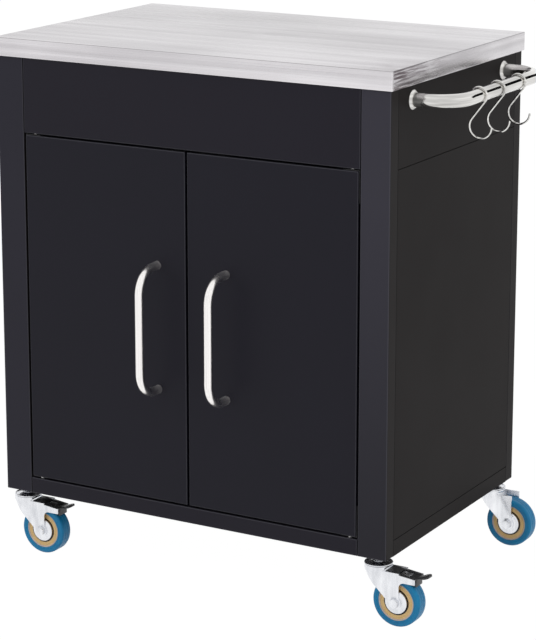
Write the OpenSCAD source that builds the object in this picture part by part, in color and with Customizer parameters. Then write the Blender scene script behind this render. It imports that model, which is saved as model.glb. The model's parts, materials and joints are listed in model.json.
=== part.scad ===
// Kitchen cart: a two-door cabinet on four swivel casters, under a folded steel worktop,
// with a towel rail and three S-hooks on its right side.
// The origin lies on the floor, in the middle of the whole outline. The front faces -Y and +Z is up.

/* [Overall] */
// Width over the worktop
top_w = 665; // [520:5:900]
// Depth over the worktop
top_d = 440; // [400:5:600]
// Height from the floor to the worktop surface
top_h = 805; // [720:5:950]

/* [Worktop] */
// Thickness of the folded steel sheet
sheet_t = 1; // [0.8:0.1:2]
// Height of the steel skirt
skirt_h = 28; // [22:1:40]
// Width of the hem that is folded under the board
hem_w = 12; // [8:1:20]
// Rounding of the sheet's folds
fold_r = 1.2; // [0.6:0.2:1.8]
// How far the skirt stands out from the cabinet
overhang = 3; // [2.2:0.1:8]

/* [Cabinet] */
// Side of the square posts
post_w = 46; // [40:1:60]
// Width of the post that shows beside the side boards
post_strip = 23; // [18:1:28]
// Thickness of the side boards, the floor board and the shelf
board_t = 15; // [12:1:18]
// Thickness of the apron, the front rail and the doors
front_t = 18; // [15:1:22]
// Thickness of the back panel
back_t = 9; // [6:1:15]
// Height of the apron that shows under the skirt
apron_h = 113; // [80:1:160]
// Height of the bottom rails
rail_h = 25; // [20:1:40]
// Rounding of the board edges
edge_r = 2; // [1:0.5:3]
// Gap between the posts and the boards of the front
reveal = 0.8; // [0.3:0.1:0.9]
// Rounding of the side boards, which makes the groove at each seam
seam_r = 1.2; // [0.6:0.2:2]

/* [Shelf] */
// Height of the shelf's upper face above the cabinet's underside
shelf_z = 300; // [230:5:380]
// Clearance round the shelf
shelf_gap = 0.6; // [0.3:0.1:2]
// Distance from the cabinet's front to the shelf
shelf_setback = 30; // [28:1:50]
// Diameter of the shelf pins
shelf_pin_d = 5; // [4:0.5:7]
// Distance that a shelf pin stands out of its post
shelf_pin_out = 9; // [7:0.5:12]
// Depth of the shelf pin holes
shelf_hole_deep = 10; // [8:1:14]
// Distance between the shelf pin holes
shelf_pitch = 32; // [25:1:40]

/* [Doors] */
// Gap between a door and its post
gap_side = 3.3; // [3:0.1:5]
// Gap between the two doors
gap_mid = 3.6; // [3:0.1:6]
// Gap above and under the doors
gap_door = 3; // [2.5:0.1:5]
// Distance from a door's outer edge to its pivot pin
pin_inset = 12.5; // [12:0.1:14]
// Diameter of the pivot pins
pin_d = 6; // [5:0.5:6]
// Radial clearance of the pins and shafts that turn
run_clear = 0.05; // [0.02:0.01:0.09]
// Thickness of the corner pivot plates
plate_t = 1.2; // [1:0.1:1.4]
// Width of the corner pivot plates
plate_w = 12; // [10:0.5:12]
// Length of a pivot plate along the door's end
plate_len = 26; // [22:1:34]
// Length of a pivot plate down the door's edge
plate_drop = 46; // [42:1:60]
// Outer diameter of the pivot bushings
bush_d = 10; // [8.5:0.5:12]
// Depth of the pivot bushings
bush_deep = 9; // [6:1:12]

/* [Handles] */
// Diameter of the handle tube
handle_d = 13; // [10:0.5:16]
// Distance between the two feet of a handle
handle_span = 188; // [128:4:224]
// Distance from the door to the middle of the handle's bar
handle_reach = 50; // [40:1:60]
// Radius of the handle's bends
handle_bend = 36; // [20:1:38]
// Distance from the left door's inner edge to its handle
handle_in_left = 48; // [30:1:90]
// Distance from the right door's inner edge to its handle
handle_in_right = 65; // [30:1:90]

/* [Towel rail] */
// Diameter of the towel rail
rail_d = 20; // [16:0.5:24]
// Distance from the cabinet's front and back to the feet of the towel rail
rail_inset = 67; // [56:1:74]
// Distance from the cabinet's side to the middle of the rail
rail_reach = 65; // [55:1:80]
// Radius of the rail's bends
rail_bend = 46; // [30:1:50]
// Distance from the worktop surface down to the middle of the rail
rail_drop = 49; // [46:1:80]
// Diameter of the wall flanges
flange_d = 28; // [26:0.5:36]
// Thickness of the wall flanges
flange_t = 4; // [3:0.5:8]

/* [S-hooks] */
// Diameter of the hook wire
wire_d = 3; // [2:0.25:4]
// Clearance between the hook and the rail
hook_clear = 0.4; // [0.3:0.1:1.5]
// Radius of the lower loop, to the middle of the wire
hook_low_r = 17; // [12:0.5:20]
// Distance from the rail's middle down to the lower loop's middle
hook_low_z = 44; // [36:1:52]
// Distance that the lower loop stands outside the rail's middle
hook_low_x = 2.5; // [0:0.5:4]
// Distance from the cabinet's front to the front hook
hook_front_y = 144; // [120:2:170]
// Distance from the cabinet's front to the middle hook
hook_middle_y = 205; // [182:2:240]
// Distance from the cabinet's front to the rear hook
hook_rear_y = 276; // [252:2:310]

/* [Casters] */
// Height from the floor to the cabinet's underside
caster_h = 100; // [96:1:110]
// Diameter of the wheels
wheel_d = 75; // [70:1:76]
// Width of the wheels
wheel_w = 23; // [20:1:26]
// Distance from the swivel axis to the axle
trail = 34; // [30:1:36]
// Thickness of the pressed fork
fork_t = 2; // [1.5:0.25:3]
// Gap between the wheel and each cheek of the fork
cheek_gap = 2.2; // [2:0.1:4]
// Diameter of the fork's crown
crown_d = 41; // [38:1:42]
// Diameter of the cap over the ball race
cap_d = 42; // [40:0.5:48]
// Distance that the brake's hood reaches behind the axle
hood_reach = 31; // [29:0.5:34]
// Diameter of the axle bolt
axle_d = 8; // [6:0.5:10]
// Diameter of the stem in the post
stem_d = 10; // [8:0.5:12]
// Length of the stem in the post
stem_len = 36; // [25:1:45]
// Gap between the tread and the shoe of a brake that is off
brake_gap = 4; // [3.5:0.25:5]

/* [Hidden] */
$fn = 64;

// Small length that carries a cut past the face it opens
cut = 0.5;
// Radial clearance of pieces that are pressed or pushed together and don't turn
seat_clear = 0.02;

// Colours, as the photograph shows them
lacquer = [0.13, 0.13, 0.15];
steel = [0.8, 0.8, 0.8];
chrome = [0.9, 0.9, 0.88];
zinc = [0.78, 0.8, 0.82];
board_tan = [0.72, 0.58, 0.4];
tyre_blue = [0.1, 0.42, 0.7];
hub_tan = [0.85, 0.68, 0.4];
pedal_black = [0.12, 0.12, 0.13];

// Cabinet outline, placed so that the whole outline is centred on the origin
cab_w = top_w - 2 * overhang;
cab_d = top_d - 2 * overhang;
hook_out = hook_low_x + hook_low_r + wire_d / 2;
reach_right = rail_reach + max(hook_out, rail_d / 2);
reach_front = handle_reach + handle_d / 2;
cab_left = (overhang - cab_w - reach_right) / 2;
cab_right = cab_left + cab_w;
cab_front = (reach_front - cab_d - overhang) / 2;
cab_back = cab_front + cab_d;
inner_left = cab_left + post_w;
inner_right = cab_right - post_w;

// Heights of the cabinet
cab_z = caster_h;
skirt_z = top_h - skirt_h;
core_z = skirt_z + sheet_t;
core_t = skirt_h - 2 * sheet_t;
apron_z = skirt_z - apron_h;
plinth_z = cab_z + rail_h;
shelf_top = cab_z + shelf_z;
body_h = skirt_z - cab_z;

// Shelf pins, under the shelf and this far from the post's inner corner
pin_z = shelf_top - board_t - shelf_pin_d / 2;
shelf_pin_in = 10;

// Doors
door_z = plinth_z + gap_door;
door_h = apron_z - gap_door - door_z;
door_w = (inner_right - inner_left - 2 * gap_side - gap_mid) / 2;
door_left_x = inner_left + gap_side;
door_right_x = inner_right - gap_side;
pivot_y = cab_front + front_t / 2;
pivot_left_x = door_left_x + pin_inset;
pivot_right_x = door_right_x - pin_inset;
pin_len = gap_door + bush_deep - 1;
catch_w = 44;
catch_h = 15;
catch_deep = 16;
catch_overlap = 14;
striker_t = 1.5;
striker_gap = 0.4;
catch_inset = 30;
catch_left_x = door_left_x + door_w - catch_inset;
catch_right_x = door_right_x - door_w + catch_inset;
handle_screw_d = 4;
handle_screw_bite = 12;

// Towel rail
rail_z = top_h - rail_drop;
rail_x = cab_right + rail_reach;
rail_span = cab_d - 2 * rail_inset;
rail_mid_y = (cab_front + cab_back) / 2;
screw_d = 5;
screw_head_d = 9;
screw_head_t = 3;
screw_bite = 10;

// Casters, measured down from the cabinet's underside
axle_z = wheel_d / 2 - caster_h;
hex_af = 13;
hex_h = 8;
cap_h = 4;
race_gap = 0.3;
crown_z = -(hex_h + cap_h + race_gap);
crown_h = 6;
fork_top = crown_z - crown_h;
kingpin_d = 12;
rivet_d = 17;
rivet_h = 2;
cheek_in = wheel_w / 2 + cheek_gap;
cheek_out = cheek_in + fork_t;
boss_r = 9.5;
cone_h = 13;
crown_floor = 2.5;
rivet_z = fork_top + crown_floor - race_gap - rivet_h;
post_mid = post_w / 2;
caster_at = [
    [cab_left + post_mid, cab_front + post_mid, cab_z],
    [cab_right - post_mid, cab_front + post_mid, cab_z],
    [cab_left + post_mid, cab_back - post_mid, cab_z],
    [cab_right - post_mid, cab_back - post_mid, cab_z]
];

// Wheel rings
rim_r = 28;
web_r = 26.5;
groove_r = 19.6;
cover_gap = 0.4;

// Brake: the hood slopes back from the crown, and the pedal lies in it
hood_len = trail + hood_reach;
hood_fall = 4;
hood_h = 8;
hood_start = crown_d / 2;
hood_rise = 1;
hood_slope = atan2(hood_fall + hood_rise, hood_len - hood_start);
slot_len = 18;
slot_w = 18;
slot_x = hood_len - hood_start - 28;
pad_gap = 1.5;
pad_low = 0.3;
strip_drop = 5.2;
arch_r = 8;
cheek_back = 6;
pedal_pin_d = 4;
pedal_bore = 2 * cheek_in + 1.3 * fork_t;
pedal_pivot = [trail - 3, fork_top - 3];

// Eased and rounded stock

// Rectangle with round corners, from the origin into +X and +Y
module round_rect(w, d, r) {
    translate([r, 0]) square([w - 2 * r, d]);
    translate([0, r]) square([w, d - 2 * r]);
    for (x = [r, w - r], y = [r, d - r]) {
        translate([x, y]) circle(r);
    }
}

// Block with all its edges rounded
module eased_block(w, d, h, r) {
    intersection() {
        linear_extrude(h) round_rect(w, d, r);
        translate([w, 0, 0]) rotate([0, -90, 0]) linear_extrude(w) round_rect(h, d, r);
        translate([0, d, 0]) rotate([90, 0, 0]) linear_extrude(d) round_rect(w, h, r);
    }
}

// Board that faces -Y, with all edges of that face rounded
module front_board(w, t, h, r) {
    intersection() {
        linear_extrude(h) round_rect(w, t, r);
        translate([w, 0, 0]) rotate([0, -90, 0]) linear_extrude(w) round_rect(h, t, r);
    }
}

// Board that faces the cabinet's side, with its thickness along X
module side_board(t, d, h, r) {
    intersection() {
        linear_extrude(h) round_rect(t, d, r);
        translate([0, d, 0]) rotate([90, 0, 0]) linear_extrude(d) round_rect(t, h, r);
    }
}

// Tube bent into a bow: its feet stand at +-span/2 on X and its bar lies reach away along +Y
module bow(span, reach, bend, d) {
    for (side = [0, 1]) {
        mirror([side, 0, 0]) {
            translate([span / 2, 0, 0]) rotate([-90, 0, 0]) cylinder(d = d, h = reach - bend);
            translate([span / 2 - bend, reach - bend, 0])
                rotate_extrude(angle = 90) translate([bend, 0]) circle(d = d);
        }
    }
    translate([bend - span / 2, reach, 0]) rotate([0, 90, 0]) cylinder(d = d, h = span - 2 * bend);
}

// Hexagon of the given width across its flats
module hexagon(across, h) {
    cylinder(d = across / cos(30), h = h, $fn = 6);
}

// Worktop

// Steel sheet folded down on four sides, with a hem folded under the board
module worktop_skin() {
    color(steel)
    translate([cab_left - overhang, cab_front - overhang, skirt_z])
    difference() {
        eased_block(top_w, top_d, skirt_h, fold_r);
        translate([sheet_t, sheet_t, sheet_t])
            cube([top_w - 2 * sheet_t, top_d - 2 * sheet_t, core_t]);
        translate([hem_w, hem_w, -cut])
            cube([top_w - 2 * hem_w, top_d - 2 * hem_w, sheet_t + 2 * cut]);
    }
}

module worktop_core() {
    color(board_tan)
    translate([cab_left - overhang + sheet_t, cab_front - overhang + sheet_t, core_z])
        cube([top_w - 2 * sheet_t, top_d - 2 * sheet_t, core_t]);
}

// Cabinet frame

// Square post with a rebate for the side boards, a stem bore and three shelf pin holes.
// The corner of the cabinet lies at the origin, and the post grows into +X and +Y.
module post() {
    color(lacquer)
    difference() {
        translate([0, 0, cab_z]) eased_block(post_w, post_w, body_h, edge_r);
        translate([-cut, post_strip, cab_z - cut])
            cube([board_t + cut, post_w - post_strip + cut, body_h + 2 * cut]);
        translate([post_mid, post_mid, cab_z - cut])
            cylinder(d = stem_d + 2 * run_clear, h = stem_len + cut);
        for (i = [-1:1]) {
            translate([post_w - shelf_hole_deep, post_w - shelf_pin_in, pin_z + i * shelf_pitch])
                rotate([0, 90, 0]) cylinder(d = shelf_pin_d, h = shelf_hole_deep + cut, $fn = 32);
        }
    }
}

module post_front_left() {
    translate([cab_left, cab_front, 0]) post();
}

module post_front_right() {
    translate([cab_right, cab_front, 0]) mirror([1, 0, 0]) post();
}

module post_rear_left() {
    translate([cab_left, cab_back, 0]) mirror([0, 1, 0]) post();
}

module post_rear_right() {
    translate([cab_right, cab_back, 0]) mirror([1, 0, 0]) mirror([0, 1, 0]) post();
}

// Side boards lie in the rebates of the posts, flush with their outer faces
module side_piece(z0, z1, x) {
    translate([x, cab_front + post_strip, z0])
        side_board(board_t, cab_d - 2 * post_strip, z1 - z0, seam_r);
}

module side_rail_left() {
    color(lacquer) side_piece(apron_z, skirt_z, cab_left);
}

module side_panel_left() {
    color(lacquer) side_piece(plinth_z, apron_z, cab_left);
}

module side_plinth_left() {
    color(lacquer) side_piece(cab_z, plinth_z, cab_left);
}

// The right upper rail also has the two holes for the towel rail's screws
module side_rail_right() {
    color(lacquer)
    difference() {
        side_piece(apron_z, skirt_z, cab_right - board_t);
        for (y = [-1, 1] * rail_span / 2) {
            translate([cab_right - board_t - cut, rail_mid_y + y, rail_z])
                rotate([0, 90, 0]) cylinder(d = screw_d + 2 * run_clear, h = board_t + 2 * cut);
        }
    }
}

module side_panel_right() {
    color(lacquer) side_piece(plinth_z, apron_z, cab_right - board_t);
}

module side_plinth_right() {
    color(lacquer) side_piece(cab_z, plinth_z, cab_right - board_t);
}

// Pockets for the bushings of the door pivots, at the given height and depth
module bush_pockets(z, deep) {
    for (x = [pivot_left_x, pivot_right_x]) {
        translate([x, pivot_y, z]) cylinder(d = bush_d, h = deep);
    }
}

module apron() {
    color(lacquer)
    difference() {
        translate([inner_left + reveal, cab_front, apron_z])
            front_board(inner_right - inner_left - 2 * reveal, front_t, skirt_z - apron_z, edge_r);
        bush_pockets(apron_z - cut, bush_deep + cut);
    }
}

module front_rail() {
    color(lacquer)
    difference() {
        translate([inner_left + reveal, cab_front, cab_z])
            front_board(inner_right - inner_left - 2 * reveal, front_t, rail_h, edge_r);
        bush_pockets(plinth_z - bush_deep, bush_deep + cut);
    }
}

module back_panel() {
    color(lacquer)
    translate([inner_left, cab_back - back_t, cab_z])
        cube([inner_right - inner_left, back_t, body_h]);
}

// The floor board lies flush with the plinth, notched round the four posts
module floor_board() {
    color(lacquer)
    difference() {
        translate([cab_left + board_t, cab_front + front_t, plinth_z - board_t])
            cube([cab_w - 2 * board_t, cab_d - front_t - back_t, board_t]);
        for (x = [cab_left, inner_right], y = [cab_front, cab_back - post_w]) {
            translate([x, y, plinth_z - board_t - cut]) cube([post_w, post_w, board_t + 2 * cut]);
        }
    }
}

module shelf() {
    color(lacquer)
    translate([inner_left + shelf_gap, cab_front + shelf_setback, shelf_top - board_t])
        cube([inner_right - inner_left - 2 * shelf_gap,
              cab_d - shelf_setback - back_t - shelf_gap, board_t]);
}

// Pin driven into the post and standing out under the shelf
module shelf_pin() {
    rotate([0, 90, 0])
        cylinder(d = shelf_pin_d - 2 * seat_clear, h = shelf_hole_deep + shelf_pin_out, $fn = 32);
}

module shelf_pins() {
    color(zinc)
    for (y = [cab_front + post_w - shelf_pin_in, cab_back - post_w + shelf_pin_in]) {
        translate([inner_left - shelf_hole_deep, y, pin_z]) shelf_pin();
        translate([inner_right + shelf_hole_deep, y, pin_z]) mirror([1, 0, 0]) shelf_pin();
    }
}

// Magnetic catches behind the apron, one for each door
module catch_body(x) {
    translate([x - catch_w / 2, cab_front + front_t, apron_z])
        cube([catch_w, catch_deep, catch_h]);
    translate([x - catch_w / 2, cab_front + front_t + striker_t + striker_gap, door_z + door_h - catch_overlap])
        cube([catch_w, catch_deep - striker_t - striker_gap, gap_door + catch_overlap]);
}

module door_catches() {
    color([0.85, 0.85, 0.83]) {
        catch_body(catch_left_x);
        catch_body(catch_right_x);
    }
}

// Bushings in the apron and in the front rail that carry the pivot pins
module pivot_bushings() {
    color(zinc)
    for (x = [pivot_left_x, pivot_right_x], z = [apron_z, plinth_z - bush_deep]) {
        translate([x, pivot_y, z])
        difference() {
            cylinder(d = bush_d - 2 * seat_clear, h = bush_deep);
            translate([0, 0, -cut]) cylinder(d = pin_d + 2 * run_clear, h = bush_deep + 2 * cut);
        }
    }
}

// Doors. Each door's own parts are drawn for the left door, with its outer edge at x = 0,
// its front face at y = 0 and its lower edge at z = 0, and the right door mirrors them.

module place_left() {
    translate([door_left_x, cab_front, door_z]) children();
}

module place_right() {
    translate([door_right_x, cab_front, door_z]) mirror([1, 0, 0]) children();
}

// Door board with the two screw holes of its handle
module door_board(handle_in) {
    color(lacquer)
    difference() {
        front_board(door_w, front_t, door_h, edge_r);
        for (z = [-1, 1] * handle_span / 2) {
            translate([door_w - handle_in, -cut, door_h / 2 + z])
                rotate([-90, 0, 0]) cylinder(d = handle_screw_d + 2 * run_clear, h = front_t + 2 * cut, $fn = 32);
        }
    }
}

// Corner plates, folded over the door's end and edge, each with a pivot pin and two screws
module pivot_plate() {
    screw_z = [plate_drop * 0.33, plate_drop * 0.76];
    screw_head = 7;
    screw_h = 0.8;
    translate([-plate_t, front_t / 2 - plate_w / 2, 0]) cube([plate_len, plate_w, plate_t]);
    translate([-plate_t, front_t / 2 - plate_w / 2, -plate_drop]) cube([plate_t, plate_w, plate_drop + plate_t]);
    translate([pin_inset, front_t / 2, 0]) cylinder(d = pin_d, h = pin_len);
    for (z = screw_z) {
        translate([-plate_t, front_t / 2, -z]) rotate([0, -90, 0])
            cylinder(d1 = screw_head, d2 = screw_head / 2, h = screw_h);
    }
}

module pivot_plates() {
    color(zinc) {
        translate([0, 0, door_h]) pivot_plate();
        mirror([0, 0, 1]) pivot_plate();
    }
}

module striker() {
    striker_w = 36;
    striker_h = 11;
    color(zinc)
    translate([door_w - catch_inset - striker_w / 2, front_t, door_h - striker_h - 1.5])
        cube([striker_w, striker_t, striker_h]);
}

// Bow handle of round tube, with a threaded hole in each foot for its screw
module handle(handle_in) {
    color(chrome)
    translate([door_w - handle_in, 0, door_h / 2])
    rotate([180, -90, 0])
    difference() {
        bow(handle_span, handle_reach, handle_bend, handle_d);
        for (x = [-1, 1] * handle_span / 2) {
            translate([x, -cut, 0]) rotate([-90, 0, 0])
                cylinder(d = handle_screw_d + 2 * run_clear, h = handle_screw_bite + cut, $fn = 32);
        }
    }
}

module handle_screws(handle_in) {
    head_d = 8;
    head_h = 2.4;
    color(zinc)
    for (z = [-1, 1] * handle_span / 2) {
        translate([door_w - handle_in, 0, door_h / 2 + z]) rotate([-90, 0, 0]) {
            translate([0, 0, -handle_screw_bite])
                cylinder(d = handle_screw_d, h = handle_screw_bite + front_t, $fn = 32);
            translate([0, 0, front_t]) cylinder(d = head_d, h = head_h, $fn = 32);
        }
    }
}

module door_left() {
    place_left() door_board(handle_in_left);
}

module pivot_plates_left() {
    place_left() pivot_plates();
}

module striker_left() {
    place_left() striker();
}

module handle_left() {
    place_left() handle(handle_in_left);
}

module handle_screws_left() {
    place_left() handle_screws(handle_in_left);
}

module door_right() {
    place_right() door_board(handle_in_right);
}

module pivot_plates_right() {
    place_right() pivot_plates();
}

module striker_right() {
    place_right() striker();
}

module handle_right() {
    place_right() handle(handle_in_right);
}

module handle_screws_right() {
    place_right() handle_screws(handle_in_right);
}

// Towel rail: a bent tube on the right side, with a flange round each foot and a screw from inside
module place_rail() {
    translate([cab_right, rail_mid_y, rail_z]) rotate([180, 0, 90]) children();
}

module towel_rail() {
    color(chrome)
    place_rail()
    difference() {
        bow(rail_span, rail_reach, rail_bend, rail_d);
        for (x = [-1, 1] * rail_span / 2) {
            translate([x, -cut, 0]) rotate([-90, 0, 0])
                cylinder(d = screw_d + 2 * run_clear, h = screw_bite + cut, $fn = 32);
        }
    }
}

module rail_flanges() {
    rim_h = 1.5;
    color(chrome)
    place_rail()
    for (x = [-1, 1] * rail_span / 2) {
        translate([x, 0, 0]) rotate([-90, 0, 0])
        rotate_extrude()
            polygon([
                [rail_d / 2 + seat_clear, 0],
                [flange_d / 2, 0],
                [flange_d / 2, rim_h],
                [rail_d / 2 + 1.5, flange_t],
                [rail_d / 2 + seat_clear, flange_t]
            ]);
    }
}

module rail_screws() {
    color(zinc)
    place_rail()
    for (x = [-1, 1] * rail_span / 2) {
        translate([x, -board_t, 0]) rotate([-90, 0, 0]) {
            cylinder(d = screw_d, h = board_t + screw_bite, $fn = 32);
            translate([0, 0, -screw_head_t]) cylinder(d = screw_head_d, h = screw_head_t, $fn = 32);
        }
    }
}

// S-hooks

// Wire bent round the Z axis from the X axis, by angle a at radius r
module wire_bend(r, a) {
    rotate_extrude(angle = a) translate([r, 0]) circle(d = wire_d, $fn = 32);
}

// Hook with its upper loop round the origin, in the XZ plane. The straight shank is the common
// tangent of the two loops, and it leaves the upper loop at the angle called leave.
module s_hook() {
    up_r = rail_d / 2 + hook_clear + wire_d / 2;
    low_c = [hook_low_x, -hook_low_z];
    loops = up_r + hook_low_r;
    shank = sqrt(low_c * low_c - loops * loops);
    leave = atan2(low_c[1], low_c[0]) + acos(loops / norm(low_c));
    up_end = 188;
    low_end = 356;
    half_turn = 180;
    rotate([90, 0, 0]) rotate([0, 0, leave]) {
        wire_bend(up_r, up_end - leave);
        translate([up_r, 0, 0]) rotate([90, 0, 0]) cylinder(d = wire_d, h = shank, $fn = 32);
        translate([loops, -shank, 0]) rotate([0, 0, half_turn])
            wire_bend(hook_low_r, low_end - leave - half_turn);
    }
}

module place_hook(y) {
    color(chrome) translate([rail_x, cab_front + y, rail_z]) s_hook();
}

module s_hook_front() {
    place_hook(hook_front_y);
}

module s_hook_middle() {
    place_hook(hook_middle_y);
}

module s_hook_rear() {
    place_hook(hook_rear_y);
}

// Casters. Each part is drawn round its swivel axis, with z = 0 at the cabinet's underside
// and the wheel trailing towards +X.

// Stem with its hexagon and the kingpin under it, riveted below the fork's crown
module caster_stems() {
    color(zinc)
    for (p = caster_at) {
        translate(p) {
            cylinder(d = stem_d, h = stem_len);
            translate([0, 0, -hex_h]) hexagon(hex_af, hex_h);
            translate([0, 0, rivet_z]) cylinder(d = kingpin_d, h = -hex_h - rivet_z);
            translate([0, 0, rivet_z]) cylinder(d = rivet_d, h = rivet_h);
        }
    }
}

// Pressed cap that covers the ball race: a dish with a rolled rim, raised round the hexagon
module caster_caps() {
    cap_r = cap_d / 2;
    roll = 1.1;
    low = -hex_h - cap_h;
    color(zinc)
    for (p = caster_at) {
        translate(p)
        rotate_extrude() {
            polygon([
                [kingpin_d / 2 + seat_clear, low],
                [cap_r - roll, low],
                [cap_r - roll, low + roll],
                [cap_r - 5 * roll, low + roll],
                [hex_af / 2 + 2, -hex_h],
                [kingpin_d / 2 + seat_clear, -hex_h]
            ]);
            translate([cap_r - roll, low + roll]) circle(roll, $fn = 32);
        }
    }
}

// Side view of a fork's cheek, in X and Z: a sloping front, a round boss and a straight rear edge
module cheek_outline() {
    rear_x = trail + cheek_back;
    front_x = -crown_d / 2;
    polygon([
        [front_x, crown_z],
        [front_x, fork_top - crown_floor],
        [trail - boss_r, axle_z - 1],
        [rear_x, axle_z],
        [rear_x, crown_z]
    ]);
    translate([trail, axle_z]) circle(boss_r);
}

// The braked cheek also reaches back over the wheel as a hood, with a round arch under it
module hood_outline() {
    rear_x = trail + cheek_back;
    end_z = fork_top - hood_fall;
    edge_z = end_z - hood_h;
    low_z = edge_z - 3 * arch_r;
    difference() {
        polygon([
            [hood_start - arch_r, fork_top - hood_fall],
            [hood_start - arch_r, fork_top + hood_rise],
            [hood_start, fork_top + hood_rise],
            [hood_len, end_z],
            [hood_len, low_z],
            [trail - boss_r / 2, low_z],
            [trail - boss_r / 2, edge_z]
        ]);
        translate([rear_x + arch_r, low_z]) square([hood_len, edge_z - low_z]);
        translate([rear_x, low_z]) square([hood_len, edge_z - arch_r - low_z]);
        translate([rear_x + arch_r, edge_z - arch_r]) circle(arch_r);
    }
}

// Narrow strip between the braked cheeks, behind the wheel's top. A pad that fills the pedal's slot
// stands on it and reaches forward, clear of the tread
module hood_strip() {
    strip_t = 0.8;
    strip_len = 5;
    strip_w = 2 * cheek_in + fork_t;
    pad_t = 3.7;
    pad_w = slot_w - 2 * pad_gap;
    near_x = slot_x + pad_gap;
    far_x = slot_x + slot_len - pad_gap;
    low_z = -strip_drop - strip_t;
    translate([hood_start, 0, fork_top + hood_rise]) rotate([0, hood_slope, 0]) {
        translate([far_x - strip_len, -strip_w / 2, low_z]) cube([strip_len, strip_w, strip_t]);
        rotate([90, 0, 0]) linear_extrude(pad_w, center = true)
            polygon([
                [near_x, -pad_low],
                [far_x, -pad_low],
                [far_x, low_z],
                [far_x - strip_len, low_z],
                [far_x - strip_len, -pad_low - pad_t],
                [near_x, -pad_low - pad_t]
            ]);
    }
}

// Pressed fork: a round crown that runs into two cheeks and a closed front, open to the wheel
module fork(braked) {
    low_z = axle_z - wheel_d / 2;
    slab_len = 2 * hood_len;
    roof_z = fork_top + crown_floor;
    color(zinc) {
        difference() {
            intersection() {
                union() {
                    translate([0, 0, fork_top]) cylinder(d = crown_d, h = crown_h);
                    translate([0, 0, fork_top - cone_h]) cylinder(r1 = cheek_out, r2 = crown_d / 2, h = cone_h);
                    translate([0, 0, low_z]) cylinder(r = cheek_out, h = fork_top - low_z);
                    translate([0, -cheek_out, low_z])
                        cube([slab_len, 2 * cheek_out, fork_top + hood_rise - low_z]);
                }
                rotate([90, 0, 0]) {
                    linear_extrude(2 * crown_d, center = true) cheek_outline();
                    if (braked) {
                        linear_extrude(2 * crown_d, center = true) hood_outline();
                    }
                }
            }
            // Channel for the wheel, round at its closed front
            translate([0, 0, low_z - cut]) cylinder(r = cheek_in, h = roof_z - low_z + cut);
            translate([0, -cheek_in, low_z - cut]) cube([slab_len + cut, 2 * cheek_in, roof_z - low_z + cut]);
            if (braked) {
                // The hood is open on top, where the pedal lies, and the pedal's bores are blind
                translate([hood_start - 4, -cheek_in, fork_top - hood_h])
                    cube([slab_len, 2 * cheek_in, hood_h + crown_h]);
                translate([pedal_pivot[0], 0, pedal_pivot[1]]) rotate([90, 0, 0])
                    cylinder(d = pedal_pin_d + 2 * run_clear, h = pedal_bore, center = true, $fn = 32);
            }
            // Kingpin and axle bores
            translate([0, 0, fork_top - cut]) cylinder(d = kingpin_d + 2 * run_clear, h = crown_h + 2 * cut);
            translate([trail, 0, axle_z]) rotate([90, 0, 0])
                cylinder(d = axle_d + 2 * seat_clear, h = crown_d, center = true);
        }
        if (braked) {
            hood_strip();
        }
    }
}

// Axle bolt with its head at the front and its nut at the back
module axle() {
    head_af = 13;
    head_h = 5;
    tail = 2;
    color(zinc)
    translate([trail, 0, axle_z]) rotate([90, 0, 0]) {
        translate([0, 0, -cheek_out - head_h - tail]) cylinder(d = axle_d, h = 2 * cheek_out + head_h + tail);
        translate([0, 0, cheek_out]) hexagon(head_af, head_h);
        translate([0, 0, -cheek_out - head_h]) hexagon(head_af, head_h);
    }
}

// Domed steel dust covers, one beside each cheek
module dust_covers() {
    cover_r = 17.3;
    color(zinc)
    for (side = [0, 1]) {
        translate([trail, 0, axle_z]) mirror([0, side, 0]) rotate([90, 0, 0])
        rotate_extrude()
            polygon([
                [axle_d / 2 + seat_clear, wheel_w / 2 + cover_gap],
                [cover_r, wheel_w / 2 + cover_gap - 0.9],
                [cover_r, wheel_w / 2 + cover_gap],
                [cover_r - 2, cheek_in - 0.6],
                [boss_r, cheek_in],
                [axle_d / 2 + seat_clear, cheek_in]
            ]);
    }
}

// Wheel centre: a rim under the tyre, a web a little lower and a hub with a groove round it
module hub() {
    web_low = 1.6;
    half = wheel_w / 2;
    color(hub_tan)
    translate([trail, 0, axle_z]) rotate([90, 0, 0])
    rotate_extrude()
        polygon([
            [axle_d / 2 + run_clear, -half],
            [boss_r, -half],
            [boss_r + 1, -half + 3],
            [groove_r - 1, -half + 3],
            [groove_r, -half + web_low],
            [web_r, -half + web_low],
            [web_r + 0.5, -half + 0.4],
            [rim_r, -half + 0.4],
            [rim_r, half - 0.4],
            [web_r + 0.5, half - 0.4],
            [web_r, half - web_low],
            [groove_r, half - web_low],
            [groove_r - 1, half - 3],
            [boss_r + 1, half - 3],
            [boss_r, half],
            [axle_d / 2 + run_clear, half]
        ]);
}

// Tyre with rounded shoulders
module tyre() {
    shoulder = 4;
    half = wheel_w / 2;
    r = wheel_d / 2;
    color(tyre_blue)
    translate([trail, 0, axle_z]) rotate([90, 0, 0])
    rotate_extrude() {
        translate([rim_r + seat_clear, -half]) square([r - shoulder - rim_r - seat_clear, wheel_w]);
        translate([rim_r + 1, -half + shoulder]) square([r - rim_r - 1, wheel_w - 2 * shoulder]);
        for (y = [shoulder - half, half - shoulder]) {
            translate([r - shoulder, y]) circle(shoulder);
        }
    }
}

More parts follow.
